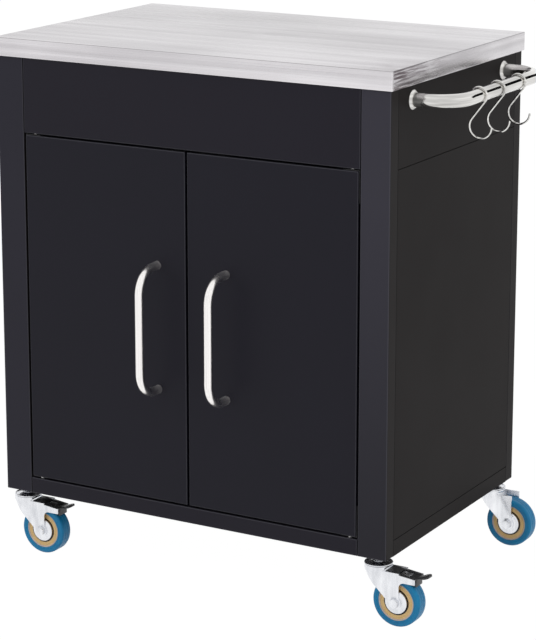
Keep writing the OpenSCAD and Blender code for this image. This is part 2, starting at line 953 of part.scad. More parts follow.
// Brake lever: a slotted plate between the hood's cheeks, a shoe over the tread and a foot tip
module brake_pedal() {
    plate_half = cheek_in - 0.5;
    plate_h = 2.5;
    plate_low = 0.4 - plate_h;
    plate_len = hood_len - hood_start;
    front_x = -2.5;
    slots = [[slot_x, slot_len], [plate_len - 7.5, 3]];
    shoe_half = plate_half - 3;
    shoe_len = 10;
    shoe_z = axle_z + 24;
    neck_w = 12;
    neck_len = 8;
    tip_w = 20;
    tip_r = 6;
    tip_len = 12;
    tip_turn = 20;
    color(pedal_black) {
        translate([hood_start, 0, fork_top + hood_rise]) rotate([0, hood_slope, 0]) {
            difference() {
                translate([front_x, -plate_half, plate_low])
                    cube([plate_len - front_x, 2 * plate_half, plate_h]);
                for (s = slots) {
                    translate([s[0], -slot_w / 2, plate_low - cut]) cube([s[1], slot_w, plate_h + 2 * cut]);
                }
            }
            // Foot tip on a narrow neck, bent up a little
            translate([plate_len - 1, 0, plate_low]) rotate([0, -tip_turn, 0]) {
                translate([0, -neck_w / 2, 0]) cube([neck_len + 2, neck_w, plate_h]);
                translate([neck_len, tip_r - tip_w / 2, 0]) cube([tip_len, tip_w - 2 * tip_r, plate_h]);
                for (y = [-1, 1] * (tip_w / 2 - tip_r)) {
                    translate([neck_len + tip_len - tip_r, y, 0]) cylinder(r = tip_r, h = plate_h);
                }
            }
        }
        // Shoe, cut round to the wheel with a gap
        difference() {
            translate([hood_len - shoe_len, -shoe_half, shoe_z])
                cube([shoe_len, 2 * shoe_half, fork_top - hood_fall - shoe_z]);
            translate([trail, 0, axle_z]) rotate([90, 0, 0])
                cylinder(r = wheel_d / 2 + brake_gap, h = 2 * cheek_in, center = true);
        }
        translate([pedal_pivot[0], 0, pedal_pivot[1]]) rotate([90, 0, 0])
            cylinder(d = pedal_pin_d, h = pedal_bore - 2 * run_clear, center = true, $fn = 32);
    }
}

module fork_front_left() {
    translate(caster_at[0]) fork(true);
}

module axle_front_left() {
    translate(caster_at[0]) axle();
}

module dust_covers_front_left() {
    translate(caster_at[0]) dust_covers();
}

module hub_front_left() {
    translate(caster_at[0]) hub();
}

module tyre_front_left() {
    translate(caster_at[0]) tyre();
}

module fork_front_right() {
    translate(caster_at[1]) fork(true);
}

module axle_front_right() {
    translate(caster_at[1]) axle();
}

module dust_covers_front_right() {
    translate(caster_at[1]) dust_covers();
}

module hub_front_right() {
    translate(caster_at[1]) hub();
}

module tyre_front_right() {
    translate(caster_at[1]) tyre();
}

module fork_rear_left() {
    translate(caster_at[2]) fork(false);
}

module axle_rear_left() {
    translate(caster_at[2]) axle();
}

module dust_covers_rear_left() {
    translate(caster_at[2]) dust_covers();
}

module hub_rear_left() {
    translate(caster_at[2]) hub();
}

module tyre_rear_left() {
    translate(caster_at[2]) tyre();
}

module fork_rear_right() {
    translate(caster_at[3]) fork(false);
}

module axle_rear_right() {
    translate(caster_at[3]) axle();
}

module dust_covers_rear_right() {
    translate(caster_at[3]) dust_covers();
}

module hub_rear_right() {
    translate(caster_at[3]) hub();
}

module tyre_rear_right() {
    translate(caster_at[3]) tyre();
}

module brake_pedal_left() {
    translate(caster_at[0]) brake_pedal();
}

module brake_pedal_right() {
    translate(caster_at[1]) brake_pedal();
}

worktop_skin();
worktop_core();
post_front_left();
post_front_right();
post_rear_left();
post_rear_right();
apron();
front_rail();
back_panel();
floor_board();
shelf();
shelf_pins();
side_rail_left();
side_panel_left();
side_plinth_left();
side_rail_right();
side_panel_right();
side_plinth_right();
door_catches();
pivot_bushings();
door_left();
pivot_plates_left();
striker_left();
handle_left();
handle_screws_left();
door_right();
pivot_plates_right();
striker_right();
handle_right();
handle_screws_right();
towel_rail();
rail_flanges();
rail_screws();
s_hook_front();
s_hook_middle();
s_hook_rear();
caster_stems();
caster_caps();
fork_front_left();
axle_front_left();
dust_covers_front_left();
hub_front_left();
tyre_front_left();
fork_front_right();
axle_front_right();
dust_covers_front_right();
hub_front_right();
tyre_front_right();
fork_rear_left();
axle_rear_left();
dust_covers_rear_left();
hub_rear_left();
tyre_rear_left();
fork_rear_right();
axle_rear_right();
dust_covers_rear_right();
hub_rear_right();
tyre_rear_right();
brake_pedal_left();
brake_pedal_right();
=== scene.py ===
"""Kitchen cart on casters: the visible model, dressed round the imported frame.

Each sub-assembly of the cart is a class that reads its places from the frame, keeps its
own small sizes as dataclass fields, builds its meshes and gives them a finish.
All lengths are metres, +Z is up and the doors face -Y.
"""

import json
import logging
import math
from dataclasses import dataclass, field
from enum import Enum
from functools import reduce
from typing import Iterable, Mapping, Sequence

import bmesh
import bpy
from bmesh.types import BMEdge, BMesh, BMFace, BMVert
from bpy.types import ID, Material, Mesh, Node, NodeSocket, NodeTree, Object
from mathutils import Matrix, Vector


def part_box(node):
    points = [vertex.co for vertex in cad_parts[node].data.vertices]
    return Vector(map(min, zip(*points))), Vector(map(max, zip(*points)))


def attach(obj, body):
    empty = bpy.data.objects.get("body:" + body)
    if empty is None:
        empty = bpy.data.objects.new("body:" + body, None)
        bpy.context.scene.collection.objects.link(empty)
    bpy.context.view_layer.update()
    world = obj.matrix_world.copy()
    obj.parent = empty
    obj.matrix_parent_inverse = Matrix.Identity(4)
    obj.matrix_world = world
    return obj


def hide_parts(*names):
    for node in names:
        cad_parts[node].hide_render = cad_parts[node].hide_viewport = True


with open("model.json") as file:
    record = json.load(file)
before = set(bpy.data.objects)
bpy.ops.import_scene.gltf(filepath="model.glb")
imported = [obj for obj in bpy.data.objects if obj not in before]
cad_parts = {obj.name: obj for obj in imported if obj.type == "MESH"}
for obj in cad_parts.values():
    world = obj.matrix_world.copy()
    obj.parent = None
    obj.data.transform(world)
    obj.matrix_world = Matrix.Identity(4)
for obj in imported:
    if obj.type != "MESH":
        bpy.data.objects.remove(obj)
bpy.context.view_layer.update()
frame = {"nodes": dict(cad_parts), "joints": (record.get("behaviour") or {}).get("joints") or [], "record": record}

LOG = logging.getLogger("kitchen_cart")
MM = 0.001
WELD = 1e-6
FLAT = math.radians(0.5)
LEVEL = 0.99
ROUNDED_FROM = math.radians(40.0)
NUT_EDGE = 0.5 * MM
RIGHT_ANGLE = math.pi / 2
RIGHTWARD, BACKWARD, UPWARD = (Vector(row) for row in Matrix.Identity(3))
FULL = (0.0, 1.0)
MIDDLE_LINES = (0.3, 0.7)
Pair = tuple[float, float]
Triple = tuple[float, float, float]
Colour = Triple
Value = NodeSocket | float
Tone = NodeSocket | Colour
Sockets = Mapping[str, NodeSocket]


class Side(Enum):
    """The two sides of the cart, seen from the front, with the sign of X that points outwards."""

    LEFT = -1
    RIGHT = 1

    @property
    def word(self) -> str:
        """The side's name as the frame's nodes write it."""
        return self.name.lower()


class Corner(Enum):
    """The four corners of the cart that carry a caster."""

    FRONT_LEFT = "front_left"
    FRONT_RIGHT = "front_right"
    REAR_LEFT = "rear_left"
    REAR_RIGHT = "rear_right"

    @property
    def braked(self) -> bool:
        """Whether this caster carries a brake pedal."""
        return self in (Corner.FRONT_LEFT, Corner.FRONT_RIGHT)

    @property
    def side(self) -> Side:
        """The side of the cart that this corner is on."""
        return Side.LEFT if self.value.endswith("left") else Side.RIGHT


# Shader helpers


def spaced(values: dict[str, object]) -> dict[str, object]:
    """Write socket names as Blender does, with a space for each underscore."""
    return {key.replace("_", " "): value for key, value in values.items()}


class Nodes:
    """A node tree under construction."""

    def __init__(self, tree: NodeTree) -> None:
        """Keep the tree that gets the nodes."""
        self.tree = tree

    def add(self, kind: str, inputs: dict | None = None, **settings: object) -> Node:
        """Add a node, change its settings and fill its inputs.

        Args:
            kind: The node's type name, without the ShaderNode in front.
            inputs: Names or numbers of inputs, each with a value or the socket that feeds it.
            **settings: Attributes of the node and their values.

        Returns:
            The new node.
        """
        node = self.tree.nodes.new(f"ShaderNode{kind}")
        for key, value in settings.items():
            setattr(node, key, value)
        for key, value in (inputs or {}).items():
            self.fill(node.inputs[key], value)
        return node

    def fill(self, socket: NodeSocket, value: object) -> None:
        """Give an input its plain value, or link the socket that feeds it.

        Args:
            socket: The input.
            value: The value or the other socket; a colour is made opaque.
        """
        if isinstance(value, NodeSocket):
            self.tree.links.new(value, socket)
        else:
            socket.default_value = (*value, 1.0) if socket.type == "RGBA" else value

    def calc(self, operation: str, *values: Value, clamp: bool = False) -> NodeSocket:
        """Put values through a Math node and return the result's socket."""
        inputs = dict(enumerate(values))
        return self.add("Math", inputs, operation=operation, use_clamp=clamp).outputs[0]

    def vector(self, operation: str, *values: Tone, out: str = "Vector") -> NodeSocket:
        """Put vectors through a Vector Math node and return the named result's socket."""
        inputs = dict(enumerate(values))
        return self.add("VectorMath", inputs, operation=operation).outputs[out]

    def place(self, kind: str = "Object") -> NodeSocket:
        """Object coordinates or, with kind Normal, the normal in the object's own axes."""
        return self.add("TexCoord").outputs[kind]

    def parts(self, vector: NodeSocket) -> Sockets:
        """Split a vector into X, Y and Z."""
        return self.add("SeparateXYZ", {0: vector}).outputs

    def normal(self, unsigned: bool = False) -> Sockets:
        """Split the surface's normal into X, Y and Z, without their signs where asked."""
        facing = self.place("Normal")
        return self.parts(self.vector("ABSOLUTE", facing) if unsigned else facing)

    def noise(self, scale: Tone, detail: float) -> NodeSocket:
        """Noise on Object coordinates, from its scale along each axis and its octaves."""
        inputs = {"Vector": self.vector("MULTIPLY", self.place(), scale)}
        return self.add("TexNoise", {**inputs, "Scale": 1.0, "Detail": detail}).outputs["Fac"]

    def spread(
        self, value: NodeSocket, source: Sequence[Value] = FULL, target: Pair = FULL
    ) -> NodeSocket:
        """Map a value from the source range to the target range, clamped at both ends."""
        inputs = dict(enumerate((value, *source, *target)))
        return self.add("MapRange", inputs, clamp=True).outputs["Result"]

    def mix(self, share: Value, low: NodeSocket, high: NodeSocket) -> NodeSocket:
        """Mix two values by a share."""
        return self.add("Mix", {"Factor": share, 2: low, 3: high}, data_type="FLOAT").outputs[0]

    def blend(self, mask: Value, low: Tone, high: Tone, way: str = "MIX") -> NodeSocket:
        """Mix two colours by a mask: the low one where it is 0, the high one where it is 1."""
        settings = {"data_type": "RGBA", "blend_type": way, "clamp_factor": True}
        return self.add("Mix", {"Factor": mask, 6: low, 7: high}, **settings).outputs[2]

    def product(self, *factors: NodeSocket) -> NodeSocket:
        """Multiply values, in order, and return the product's socket."""
        return reduce(lambda so_far, factor: self.calc("MULTIPLY", so_far, factor), factors)


class Group(Nodes):
    """A shader node group under construction, with named inputs and outputs."""

    def __init__(self, name: str, **inputs: float | tuple) -> None:
        """Start the group with its inputs.

        Args:
            name: The group's name.
            **inputs: Names, with an underscore for each space, and defaults.
        """
        super().__init__(bpy.data.node_groups.new(name, "ShaderNodeTree"))
        for label, default in spaced(inputs).items():
            self._socket(label, "INPUT", isinstance(default, tuple)).default_value = default
        self.given = self.tree.nodes.new("NodeGroupInput").outputs

    def _socket(self, name: str, way: str, vector: bool) -> bpy.types.NodeTreeInterfaceSocket:
        """Add an input or an output that carries a vector or a value."""
        kind = "NodeSocketVector" if vector else "NodeSocketFloat"
        return self.tree.interface.new_socket(name=name, in_out=way, socket_type=kind)

    def finish(self, **results: NodeSocket) -> NodeTree:
        """Give the group its outputs.

        Args:
            **results: Names of the outputs and the sockets that feed them.

        Returns:
            The finished group.
        """
        for label in results:
            self._socket(label, "OUTPUT", label == "Normal")
        out = self.tree.nodes.new("NodeGroupOutput")
        for label, socket in results.items():
            self.fill(out.inputs[label], socket)
        return self.tree


def cloud_group() -> NodeTree:
    """Build the group that puts out a soft, cloudy value, for small changes of tone and gloss.

    Returns:
        The group.
    """
    group = Group("cart_cloud", Scale=(12.0, 12.0, 12.0), Contrast=1.0)
    centred = group.calc("SUBTRACT", group.noise(group.given["Scale"], detail=4.0), 0.5)
    scaled = group.calc("MULTIPLY_ADD", centred, group.given["Contrast"], 0.5, clamp=True)
    return group.finish(Value=scaled)


def grain_group() -> NodeTree:
    """Build the group that puts out fine lines and broad soft bands along one direction.

    Returns:
        The group.
    """
    group = Group("cart_grain", Line_Scale=(4.0, 900.0, 900.0), Band_Scale=(1.2, 26.0, 26.0))
    line = group.noise(group.given["Line Scale"], detail=3.0)
    band = group.noise(group.given["Band Scale"], detail=5.0)
    return group.finish(Line=line, Band=band)


def relief_group() -> NodeTree:
    """Build the group that turns a fine pattern on Object coordinates into a normal.

    Returns:
        The group.
    """
    group = Group("cart_relief", Scale=(900.0, 900.0, 900.0), Height=0.0001, Strength=0.1)
    given = group.given
    inputs = {"Distance": given["Height"], "Strength": given["Strength"]}
    inputs["Height"] = group.noise(given["Scale"], detail=3.0)
    bump = group.add("Bump", inputs)
    return group.finish(Normal=bump.outputs["Normal"])


def dust_group() -> NodeTree:
    """Build the group that puts out a mask of the thin dust on faces that look up.

    Returns:
        The group.
    """
    group = Group("cart_dust", Amount=0.1)
    upward = group.spread(group.normal()["Z"], (0.5, 1.0))
    patch = group.noise((160.0, 160.0, 160.0), detail=5.0)
    patch = group.spread(patch, (0.35, 0.7), (0.2, 1.0))
    return group.finish(Mask=group.product(upward, patch, group.given["Amount"]))


def edge_group() -> NodeTree:
    """Build the group that puts out a mask of rounded edges, where a lacquer paints a highlight, and on the side
    boards a dark shade line.

    Returns:
        The group.
    """
    group = Group("cart_edge", Amount=0.5)
    parts = group.normal(unsigned=True)
    largest = group.calc("MAXIMUM", group.calc("MAXIMUM", parts["X"], parts["Y"]), parts["Z"])
    rounded = group.spread(largest, (0.75, 0.985), (1.0, 0.0))
    return group.finish(Mask=group.product(rounded, group.given["Amount"]))


def flank_group() -> NodeTree:
    """Build the group that puts out a mask of the faces that look to the left or the right.

    Returns:
        The group.
    """
    group = Group("cart_flank", Amount=1.0)
    sideways = group.spread(group.normal(unsigned=True)["X"], (0.8, 0.95))
    return group.finish(Mask=group.product(sideways, group.given["Amount"]))


def height_group() -> NodeTree:
    """Build the group that puts out a mask that rises with the height above the floor, for light painted brighter
    towards the top.

    Returns:
        The group.
    """
    group = Group("cart_height", Low=0.1, High=0.6)
    height = group.parts(group.place())["Z"]
    return group.finish(Mask=group.spread(height, (group.given["Low"], group.given["High"])))


@dataclass
class EffectGroups:
    """The shader groups that several finishes share."""

    cloud: NodeTree = field(default_factory=cloud_group)
    grain: NodeTree = field(default_factory=grain_group)
    relief: NodeTree = field(default_factory=relief_group)
    dust: NodeTree = field(default_factory=dust_group)
    edge: NodeTree = field(default_factory=edge_group)
    flank: NodeTree = field(default_factory=flank_group)
    height: NodeTree = field(default_factory=height_group)


GROUPS = EffectGroups()


class Surface(Nodes):
    """A material under construction: one Principled shader and the nodes that feed it."""

    def __init__(self, name: str) -> None:
        """Start a material of the given name.

        Args:
            name: The material's name.
        """
        self.material = bpy.data.materials.new(name)
        self.material.use_nodes = True
        super().__init__(self.material.node_tree)
        self.shader = self.tree.nodes["Principled BSDF"]

    def effect(self, group: NodeTree, **values: object) -> Sockets:
        """Place a shared group with its own values and return its outputs."""
        return self.add("Group", spaced(values), node_tree=group).outputs

    def set(self, **inputs: object) -> None:
        """Fill the shader's own inputs, named with an underscore for each space."""
        for key, value in spaced(inputs).items():
            self.fill(self.shader.inputs[key], value)

    def cloudy(self, scale: Triple, contrast: float) -> NodeSocket:
        """Place the cloud group and return its value."""
        return self.effect(GROUPS.cloud, Scale=scale, Contrast=contrast)["Value"]

    def relief(self, scale: float, height: float, strength: float) -> NodeSocket:
        """Place the relief group, with one scale for all axes, and return its normal."""
        values = {"Scale": (scale,) * 3, "Height": height, "Strength": strength}
        return self.effect(GROUPS.relief, **values)["Normal"]

    def mask(self, group: NodeTree, **values: float) -> NodeSocket:
        """Place a group that puts out a mask and return the mask."""
        return self.effect(group, **values)["Mask"]


# Finishes


@dataclass(frozen=True)
class Lacquer:
    """Black satin lacquer sprayed on board, with a faint orange peel and a painted highlight along its rounded
    edges, which on the side boards is a painted dark shade line instead.

    The flank is its tone on faces that look sideways; the upper tone is painted light, which it brightens to
    towards the top.
    """

    name: str
    deep: Colour
    light: Colour
    gloss: Pair = (0.4, 0.5)
    specular: float = 0.16
    # The next two fields give the share and the colour of the highlight painted on rounded edges.
    rubbed: float = 0.5
    edge: Colour = (0.1, 0.098, 0.11)
    flank: Colour | None = None
    flank_specular: float = 0.05
    # upper: painted light, towards which the tone brightens with height
    upper: Colour | None = None
    dust: Colour = (0.42, 0.4, 0.38)

    def build(self) -> Material:
        """Build the material.

        Returns:
            The material.
        """
        made = Surface(self.name)
        cloud = made.cloudy(scale=(9.0, 9.0, 7.0), contrast=1.4)
        tone = made.blend(cloud, self.deep, self.light)
        made.set(Specular_IOR_Level=self.specular)
        # painted light: the tone rises to the upper colour with height
        if self.upper:
            tone = made.blend(made.mask(GROUPS.height, Low=0.12, High=0.62), tone, self.upper)
        if self.flank:
            flank = made.mask(GROUPS.flank)
            tone = made.blend(flank, tone, self.flank)
            levels = (self.specular, self.flank_specular)
            made.set(Specular_IOR_Level=made.spread(flank, target=levels))
        # painted highlight on rounded edges; on the side boards a painted black shade line
        tone = made.blend(made.mask(GROUPS.edge, Amount=self.rubbed), tone, self.edge)
        tone = made.blend(made.mask(GROUPS.dust, Amount=0.03), tone, self.dust)
        made.set(Base_Color=tone, Roughness=made.spread(cloud, target=self.gloss))
        made.set(Normal=made.relief(620.0, height=0.00006, strength=0.35))
        return made.material


@dataclass(frozen=True)
class BrushedSteel:
    """Stainless sheet brushed along its width, with soft bands, a dark reflection painted in streaks near one
    corner and a darker reflection painted along the top fold.

    The levels scale its tone on faces that look sideways, to the front and upward, as painted light
    and shade. The painted dark reflections set in behind the corner over the rise and fade out with
    the distance over the reach, and the squeeze says how much a distance counts along each axis.
    """

    name: str = "brushed_sheet"
    deep: Colour = (0.56, 0.54, 0.56)
    light: Colour = (0.755, 0.735, 0.755)
    # painted reflection: colour of the dark streaks near the corner
    streak: Colour = (0.12, 0.095, 0.105)
    # painted reflection: colour of the dark line along the top fold
    fold: Colour = (0.27, 0.26, 0.27)
    # painted light and shade: tone scale on faces that look sideways, to the front and upward
    levels: Triple = (0.9, 1.04, 0.87)
    gloss: Pair = (0.24, 0.34)
    cloud_share: float = 0.35
    line_share: float = 0.13
    corner: Triple = (0.291, -0.193, 0.8)
    squeeze: Triple = (2.6, 1.0, 1.0)
    reach: Pair = (0.2, 0.02)
    rise: Pair = (0.0015, 0.006)

    def build(self) -> Material:
        """Build the material.

        Returns:
            The material.
        """
        made = Surface(self.name)
        scales = {"Line_Scale": (3.0, 420.0, 900.0), "Band_Scale": (1.7, 62.0, 90.0)}
        grain = made.effect(GROUPS.grain, **scales)
        folded = made.effect(GROUPS.grain, Band_Scale=(5.0, 5.0, 150.0))
        band = made.mix(made.mask(GROUPS.flank), grain["Band"], folded["Band"])
        band = made.mix(self.cloud_share, band, made.cloudy(scale=(3.2, 6.0, 6.0), contrast=1.8))
        tone = made.blend(made.spread(band, (0.34, 0.66)), self.deep, self.light)
        # painted light and shade by facing, then painted dark reflections in streaks and along the fold
        tone = self._levelled(made, tone)
        tone = made.blend(self._streaks(made), tone, self.streak)
        tone = made.blend(self._folds(made), tone, self.fold)
        line = made.spread(grain["Line"], MIDDLE_LINES)
        grey = made.add("CombineColor", {0: line, 1: line, 2: line}).outputs[0]
        made.set(Base_Color=made.blend(self.line_share, tone, grey, "MULTIPLY"))
        made.set(Roughness=made.spread(grain["Line"], MIDDLE_LINES, self.gloss))
        bump = {"Strength": 0.12, "Distance": 0.00005, "Height": grain["Line"]}
        made.set(Normal=made.add("Bump", bump).outputs["Normal"])
        made.set(Metallic=1.0, Anisotropic=0.35)
        return made.material

    def _levelled(self, made: Surface, tone: NodeSocket) -> NodeSocket:
        """Scale a colour by the way that the face looks, as painted light and shade: sideways, to the front or
        upward.

        Args:
            made: The material under construction.
            tone: The colour's socket.

        Returns:
            The scaled colour's socket.
        """
        facing = made.vector("ABSOLUTE", made.place("Normal"))
        level = made.vector("DOT_PRODUCT", facing, self.levels, out="Value")
        return made.add("VectorMath", {0: tone, "Scale": level}, operation="SCALE").outputs[0]

    def _streaks(self, made: Surface) -> NodeSocket:
        """Mask of the painted dark reflections, streaks that fade out away from the corner.

        Args:
            made: The material under construction.

        Returns:
            The mask's socket.
        """
        scales = {"Line_Scale": (24.0, 20.0, 320.0), "Band_Scale": (9.0, 12.0, 90.0)}
        grain = made.effect(GROUPS.grain, **scales)
        place = made.place()
        offset = made.vector("SUBTRACT", place, self.corner)
        away = made.vector("LENGTH", made.vector("MULTIPLY", offset, self.squeeze), out="Value")
        behind = tuple(self.corner[1] + step for step in self.rise)
        return made.product(
            made.spread(away, self.reach),
            made.spread(made.parts(place)["Y"], behind),
            made.spread(grain["Line"], (0.4, 0.54)),
            made.spread(grain["Band"], (0.32, 0.55), (0.45, 1.0)),
            made.spread(made.normal()["Z"], (0.5, 0.95), (1.0, 0.22)),
        )

    def _folds(self, made: Surface) -> NodeSocket:
        """Mask of the fold between the top and the skirt, where a darker reflection is painted on the sheet.

        Args:
            made: The material under construction.

        Returns:
            The mask's socket.
        """
        upward = made.normal()["Z"]
        started = made.spread(upward, (0.05, 0.4), (0.0, 0.85))
        return made.product(started, made.spread(upward, (0.8, 0.995), (1.0, 0.0)))


@dataclass(frozen=True)
class PlatedMetal:
    """Plated or polished metal: chrome on tube and wire, or bright zinc on pressed steel, whose colour carries
    painted reflections.

    The weld is the stretch along one axis over which a tube grows duller towards its feet.
    """

    name: str
    deep: Colour
    light: Colour
    gloss: Pair
    ripple: float
    ripple_scale: float
    # scale of the painted reflection lines, which run between the deep and the light colour
    lines: Triple
    weld: Pair | None = None
    weld_axis: str = "X"
    weld_dullness: float = 0.3

    def build(self) -> Material:
        """Build the material, duller towards a tube's feet if it has a weld.

        Returns:
            The material.
        """
        made = Surface(self.name)
        cloud = made.cloudy(self.lines, contrast=2.0)
        gloss = made.spread(cloud, target=self.gloss)
        if self.weld:
            along = made.parts(made.place())[self.weld_axis]
            dull = made.spread(along, self.weld, (self.weld_dullness, 0.0))
            gloss = made.calc("ADD", gloss, dull)
        # painted reflection: lines of deeper and lighter colour
        made.set(Base_Color=made.blend(cloud, self.deep, self.light), Roughness=gloss)
        made.set(Normal=made.relief(self.ripple_scale, height=0.0004, strength=self.ripple))
        made.set(Metallic=1.0)
        return made.material


@dataclass(frozen=True)
class Moulded:
    """Moulded plastic or rubber with a fine skin texture and small changes of tone."""

    name: str
    deep: Colour
    light: Colour
    gloss: Pair = (0.3, 0.42)
    skin: float = 0.12
    skin_scale: float = 420.0
    specular: float = 0.5
    dust: Colour = (0.5, 0.48, 0.45)

    def build(self) -> Material:
        """Build the material.

        Returns:
            The material.
        """
        made = Surface(self.name)
        cloud = made.cloudy(scale=(55.0, 55.0, 55.0), contrast=1.8)
        tone = made.blend(cloud, self.deep, self.light)
        tone = made.blend(made.mask(GROUPS.dust, Amount=0.04), tone, self.dust)
        made.set(Base_Color=tone, Roughness=made.spread(cloud, target=self.gloss))
        made.set(Normal=made.relief(self.skin_scale, height=0.00008, strength=self.skin))
        made.set(Specular_IOR_Level=self.specular)
        return made.material


@dataclass(frozen=True)
class RawBoard:
    """Bare wood-based board, seen only under the worktop: small flakes in two browns."""

    name: str = "raw_board"
    deep: Colour = (0.3, 0.19, 0.1)
    light: Colour = (0.62, 0.46, 0.29)
    gloss: Pair = (0.75, 0.9)

    def build(self) -> Material:
        """Build the material.

        Returns:
            The material.
        """
        made = Surface(self.name)
        scales = {"Line_Scale": (160.0, 420.0, 420.0), "Band_Scale": (50.0, 90.0, 90.0)}
        grain = made.effect(GROUPS.grain, **scales)
        flake = made.spread(grain["Line"], (0.35, 0.65))
        made.set(Base_Color=made.blend(flake, self.deep, self.light))
        made.set(Roughness=made.spread(grain["Band"], MIDDLE_LINES, self.gloss))
        return made.material


POST_FLANK = (0.0145, 0.0122, 0.012)


class Finish(Enum):
    """Every finish of the cart."""

    PANEL = Lacquer("door_lacquer", (0.0085, 0.0078, 0.0135), (0.0105, 0.0097, 0.016))
    APRON = Lacquer("apron_lacquer", (0.0108, 0.0093, 0.0155), (0.013, 0.0113, 0.018))
    POST = Lacquer(
        "post_lacquer",
        (0.0195, 0.018, 0.0265),
        (0.0235, 0.022, 0.0315),
        flank=POST_FLANK,
    )
    # The front right post: a lit copy of the post lacquer, with painted light that brightens it towards the top.
    LIT_POST = Lacquer(
        "lit_post_lacquer",
        (0.0175, 0.0165, 0.022),
        (0.0205, 0.0195, 0.0255),
        flank=POST_FLANK,
        upper=(0.041, 0.0385, 0.0505),
    )
    SIDE = Lacquer(
        "side_lacquer",
        (0.0115, 0.0095, 0.0093),
        (0.0145, 0.0125, 0.0122),
        gloss=(0.46, 0.56),
        specular=0.05,
        # painted shade: the side boards' rounded edges are painted black, as shade lines between the boards
        rubbed=1.0,
        edge=(0.0, 0.0, 0.0),
    )
    STEEL = BrushedSteel()
    BOARD = RawBoard()
    HANDLE = PlatedMetal(
        "handle_polish",
        (0.84, 0.81, 0.8),
        (1.0, 0.98, 0.96),
        gloss=(0.2, 0.27),
        ripple=0.04,
        ripple_scale=90.0,
        lines=(460.0, 460.0, 6.0),
        weld=(-0.188, -0.22),
        weld_axis="Y",
    )
    CHROME = PlatedMetal(
        "rail_chrome",
        (0.42, 0.41, 0.4),
        (0.92, 0.91, 0.88),
        gloss=(0.05, 0.09),
        ripple=0.08,
        ripple_scale=45.0,
        lines=(16.0, 10.0, 240.0),
        weld=(0.3, 0.315),
    )
    ZINC = PlatedMetal(
        "bright_zinc",
        (0.62, 0.635, 0.67),
        (0.93, 0.94, 0.97),
        gloss=(0.2, 0.32),
        ripple=0.05,
        ripple_scale=90.0,
        lines=(120.0, 120.0, 26.0),
    )
    TYRE = Moulded(
        "tyre_compound",
        (0.002, 0.17, 0.36),
        (0.008, 0.24, 0.46),
        gloss=(0.36, 0.48),
        skin=0.15,
        skin_scale=500.0,
        specular=0.35,
    )
    HUB = Moulded("hub_moulding", (0.74, 0.48, 0.18), (0.82, 0.57, 0.25))
    LIP = Moulded("rim_lip_moulding", (0.55, 0.46, 0.42), (0.64, 0.55, 0.5))
    PEDAL = Moulded(
        "pedal_enamel", (0.012, 0.012, 0.014), (0.02, 0.02, 0.022), skin=0.2, skin_scale=600.0
    )
    CATCH = Moulded(
        "catch_moulding",
        (0.62, 0.61, 0.58),
        (0.7, 0.69, 0.66),
        gloss=(0.4, 0.55),
        skin=0.25,
        skin_scale=800.0,
    )


# Mesh helpers


def traced(rows: Sequence[Triple], level: float = 0.0) -> list[Pair]:
    """Corners in metres, from rows of a radius, mm out from it and mm up from the level."""
    return [(radius + out * MM, level + up * MM) for radius, out, up in rows]


def arc(centre: Pair, radius: float, start: float, end: float, steps: int) -> list[Pair]:
    """Corners of a profile that follow an arc, by its angles in degrees."""
    turns = [math.radians(start + (end - start) * i / steps) for i in range(steps + 1)]
    return [(centre[0] + radius * math.cos(t), centre[1] + radius * math.sin(t)) for t in turns]


def mirrored(profile: list[Pair]) -> list[Pair]:
    """Mirror a profile to the other side of the wheel."""
    return [(radius, -height) for radius, height in profile]


def turned(profile: Sequence[Pair], steps: int = 96, closed: bool = False) -> BMesh:
    """Turn a profile about the Z axis.

    Args:
        profile: Radius and height of each corner, in order.
        steps: Facets round the axis.
        closed: Whether the last corner joins the first.

    Returns:
        The turned shell, its faces pointing outwards.
    """
    shape = bmesh.new()
    corners = [shape.verts.new((radius, 0.0, height)) for radius, height in profile]
    pairs = list(zip(corners, corners[1:]))
    if closed:
        pairs.append((corners[-1], corners[0]))
    geom = corners + [shape.edges.new(pair) for pair in pairs]
    bmesh.ops.spin(shape, geom=geom, axis=UPWARD, angle=math.tau, steps=steps, use_merge=True)
    bmesh.ops.remove_doubles(shape, verts=shape.verts, dist=WELD)
    bmesh.ops.recalc_face_normals(shape, faces=shape.faces)
    return shape


def bevel(shape: BMesh, edges: Iterable[BMEdge], width: float, segments: int) -> None:
    """Round some edges of a mesh by a width, in a number of segments."""
    way = {"affect": "EDGES", "profile": 0.5, "clamp_overlap": True}
    bmesh.ops.bevel(shape, geom=list(edges), offset=width, segments=segments, **way)


def soften(shape: BMesh, width: float) -> BMesh:
    """Round every sharp edge.

    Args:
        shape: The mesh to change.
        width: Width of the rounding.

    Returns:
        The same mesh.
    """
    sharp = [e for e in shape.edges if e.is_manifold and e.calc_face_angle(0.0) > ROUNDED_FROM]
    bevel(shape, sharp, width, segments=2)
    return shape


def placed(shape: BMesh, spot: Vector, turn: float = 0.0, axis: str = "X") -> BMesh:
    """Turn a mesh about an axis and move it.

    Args:
        shape: The mesh, made round the origin.
        spot: Where its origin goes.
        turn: The angle that it turns by first.
        axis: The axis that it turns about.

    Returns:
        The same mesh.
    """
    matrix = Matrix.Translation(spot) @ Matrix.Rotation(turn, 4, axis)
    bmesh.ops.transform(shape, matrix=matrix, verts=shape.verts)
    return shape


def block(low: Vector, high: Vector) -> BMesh:
    """Make a block between two corners.

    Args:
        low: Lowest corner.
        high: Highest corner.

    Returns:
        The block.
    """
    shape = bmesh.new()
    bmesh.ops.create_cube(shape, size=1.0)
    bmesh.ops.scale(shape, vec=high - low, verts=shape.verts)
    bmesh.ops.translate(shape, vec=(low + high) / 2, verts=shape.verts)
    return shape


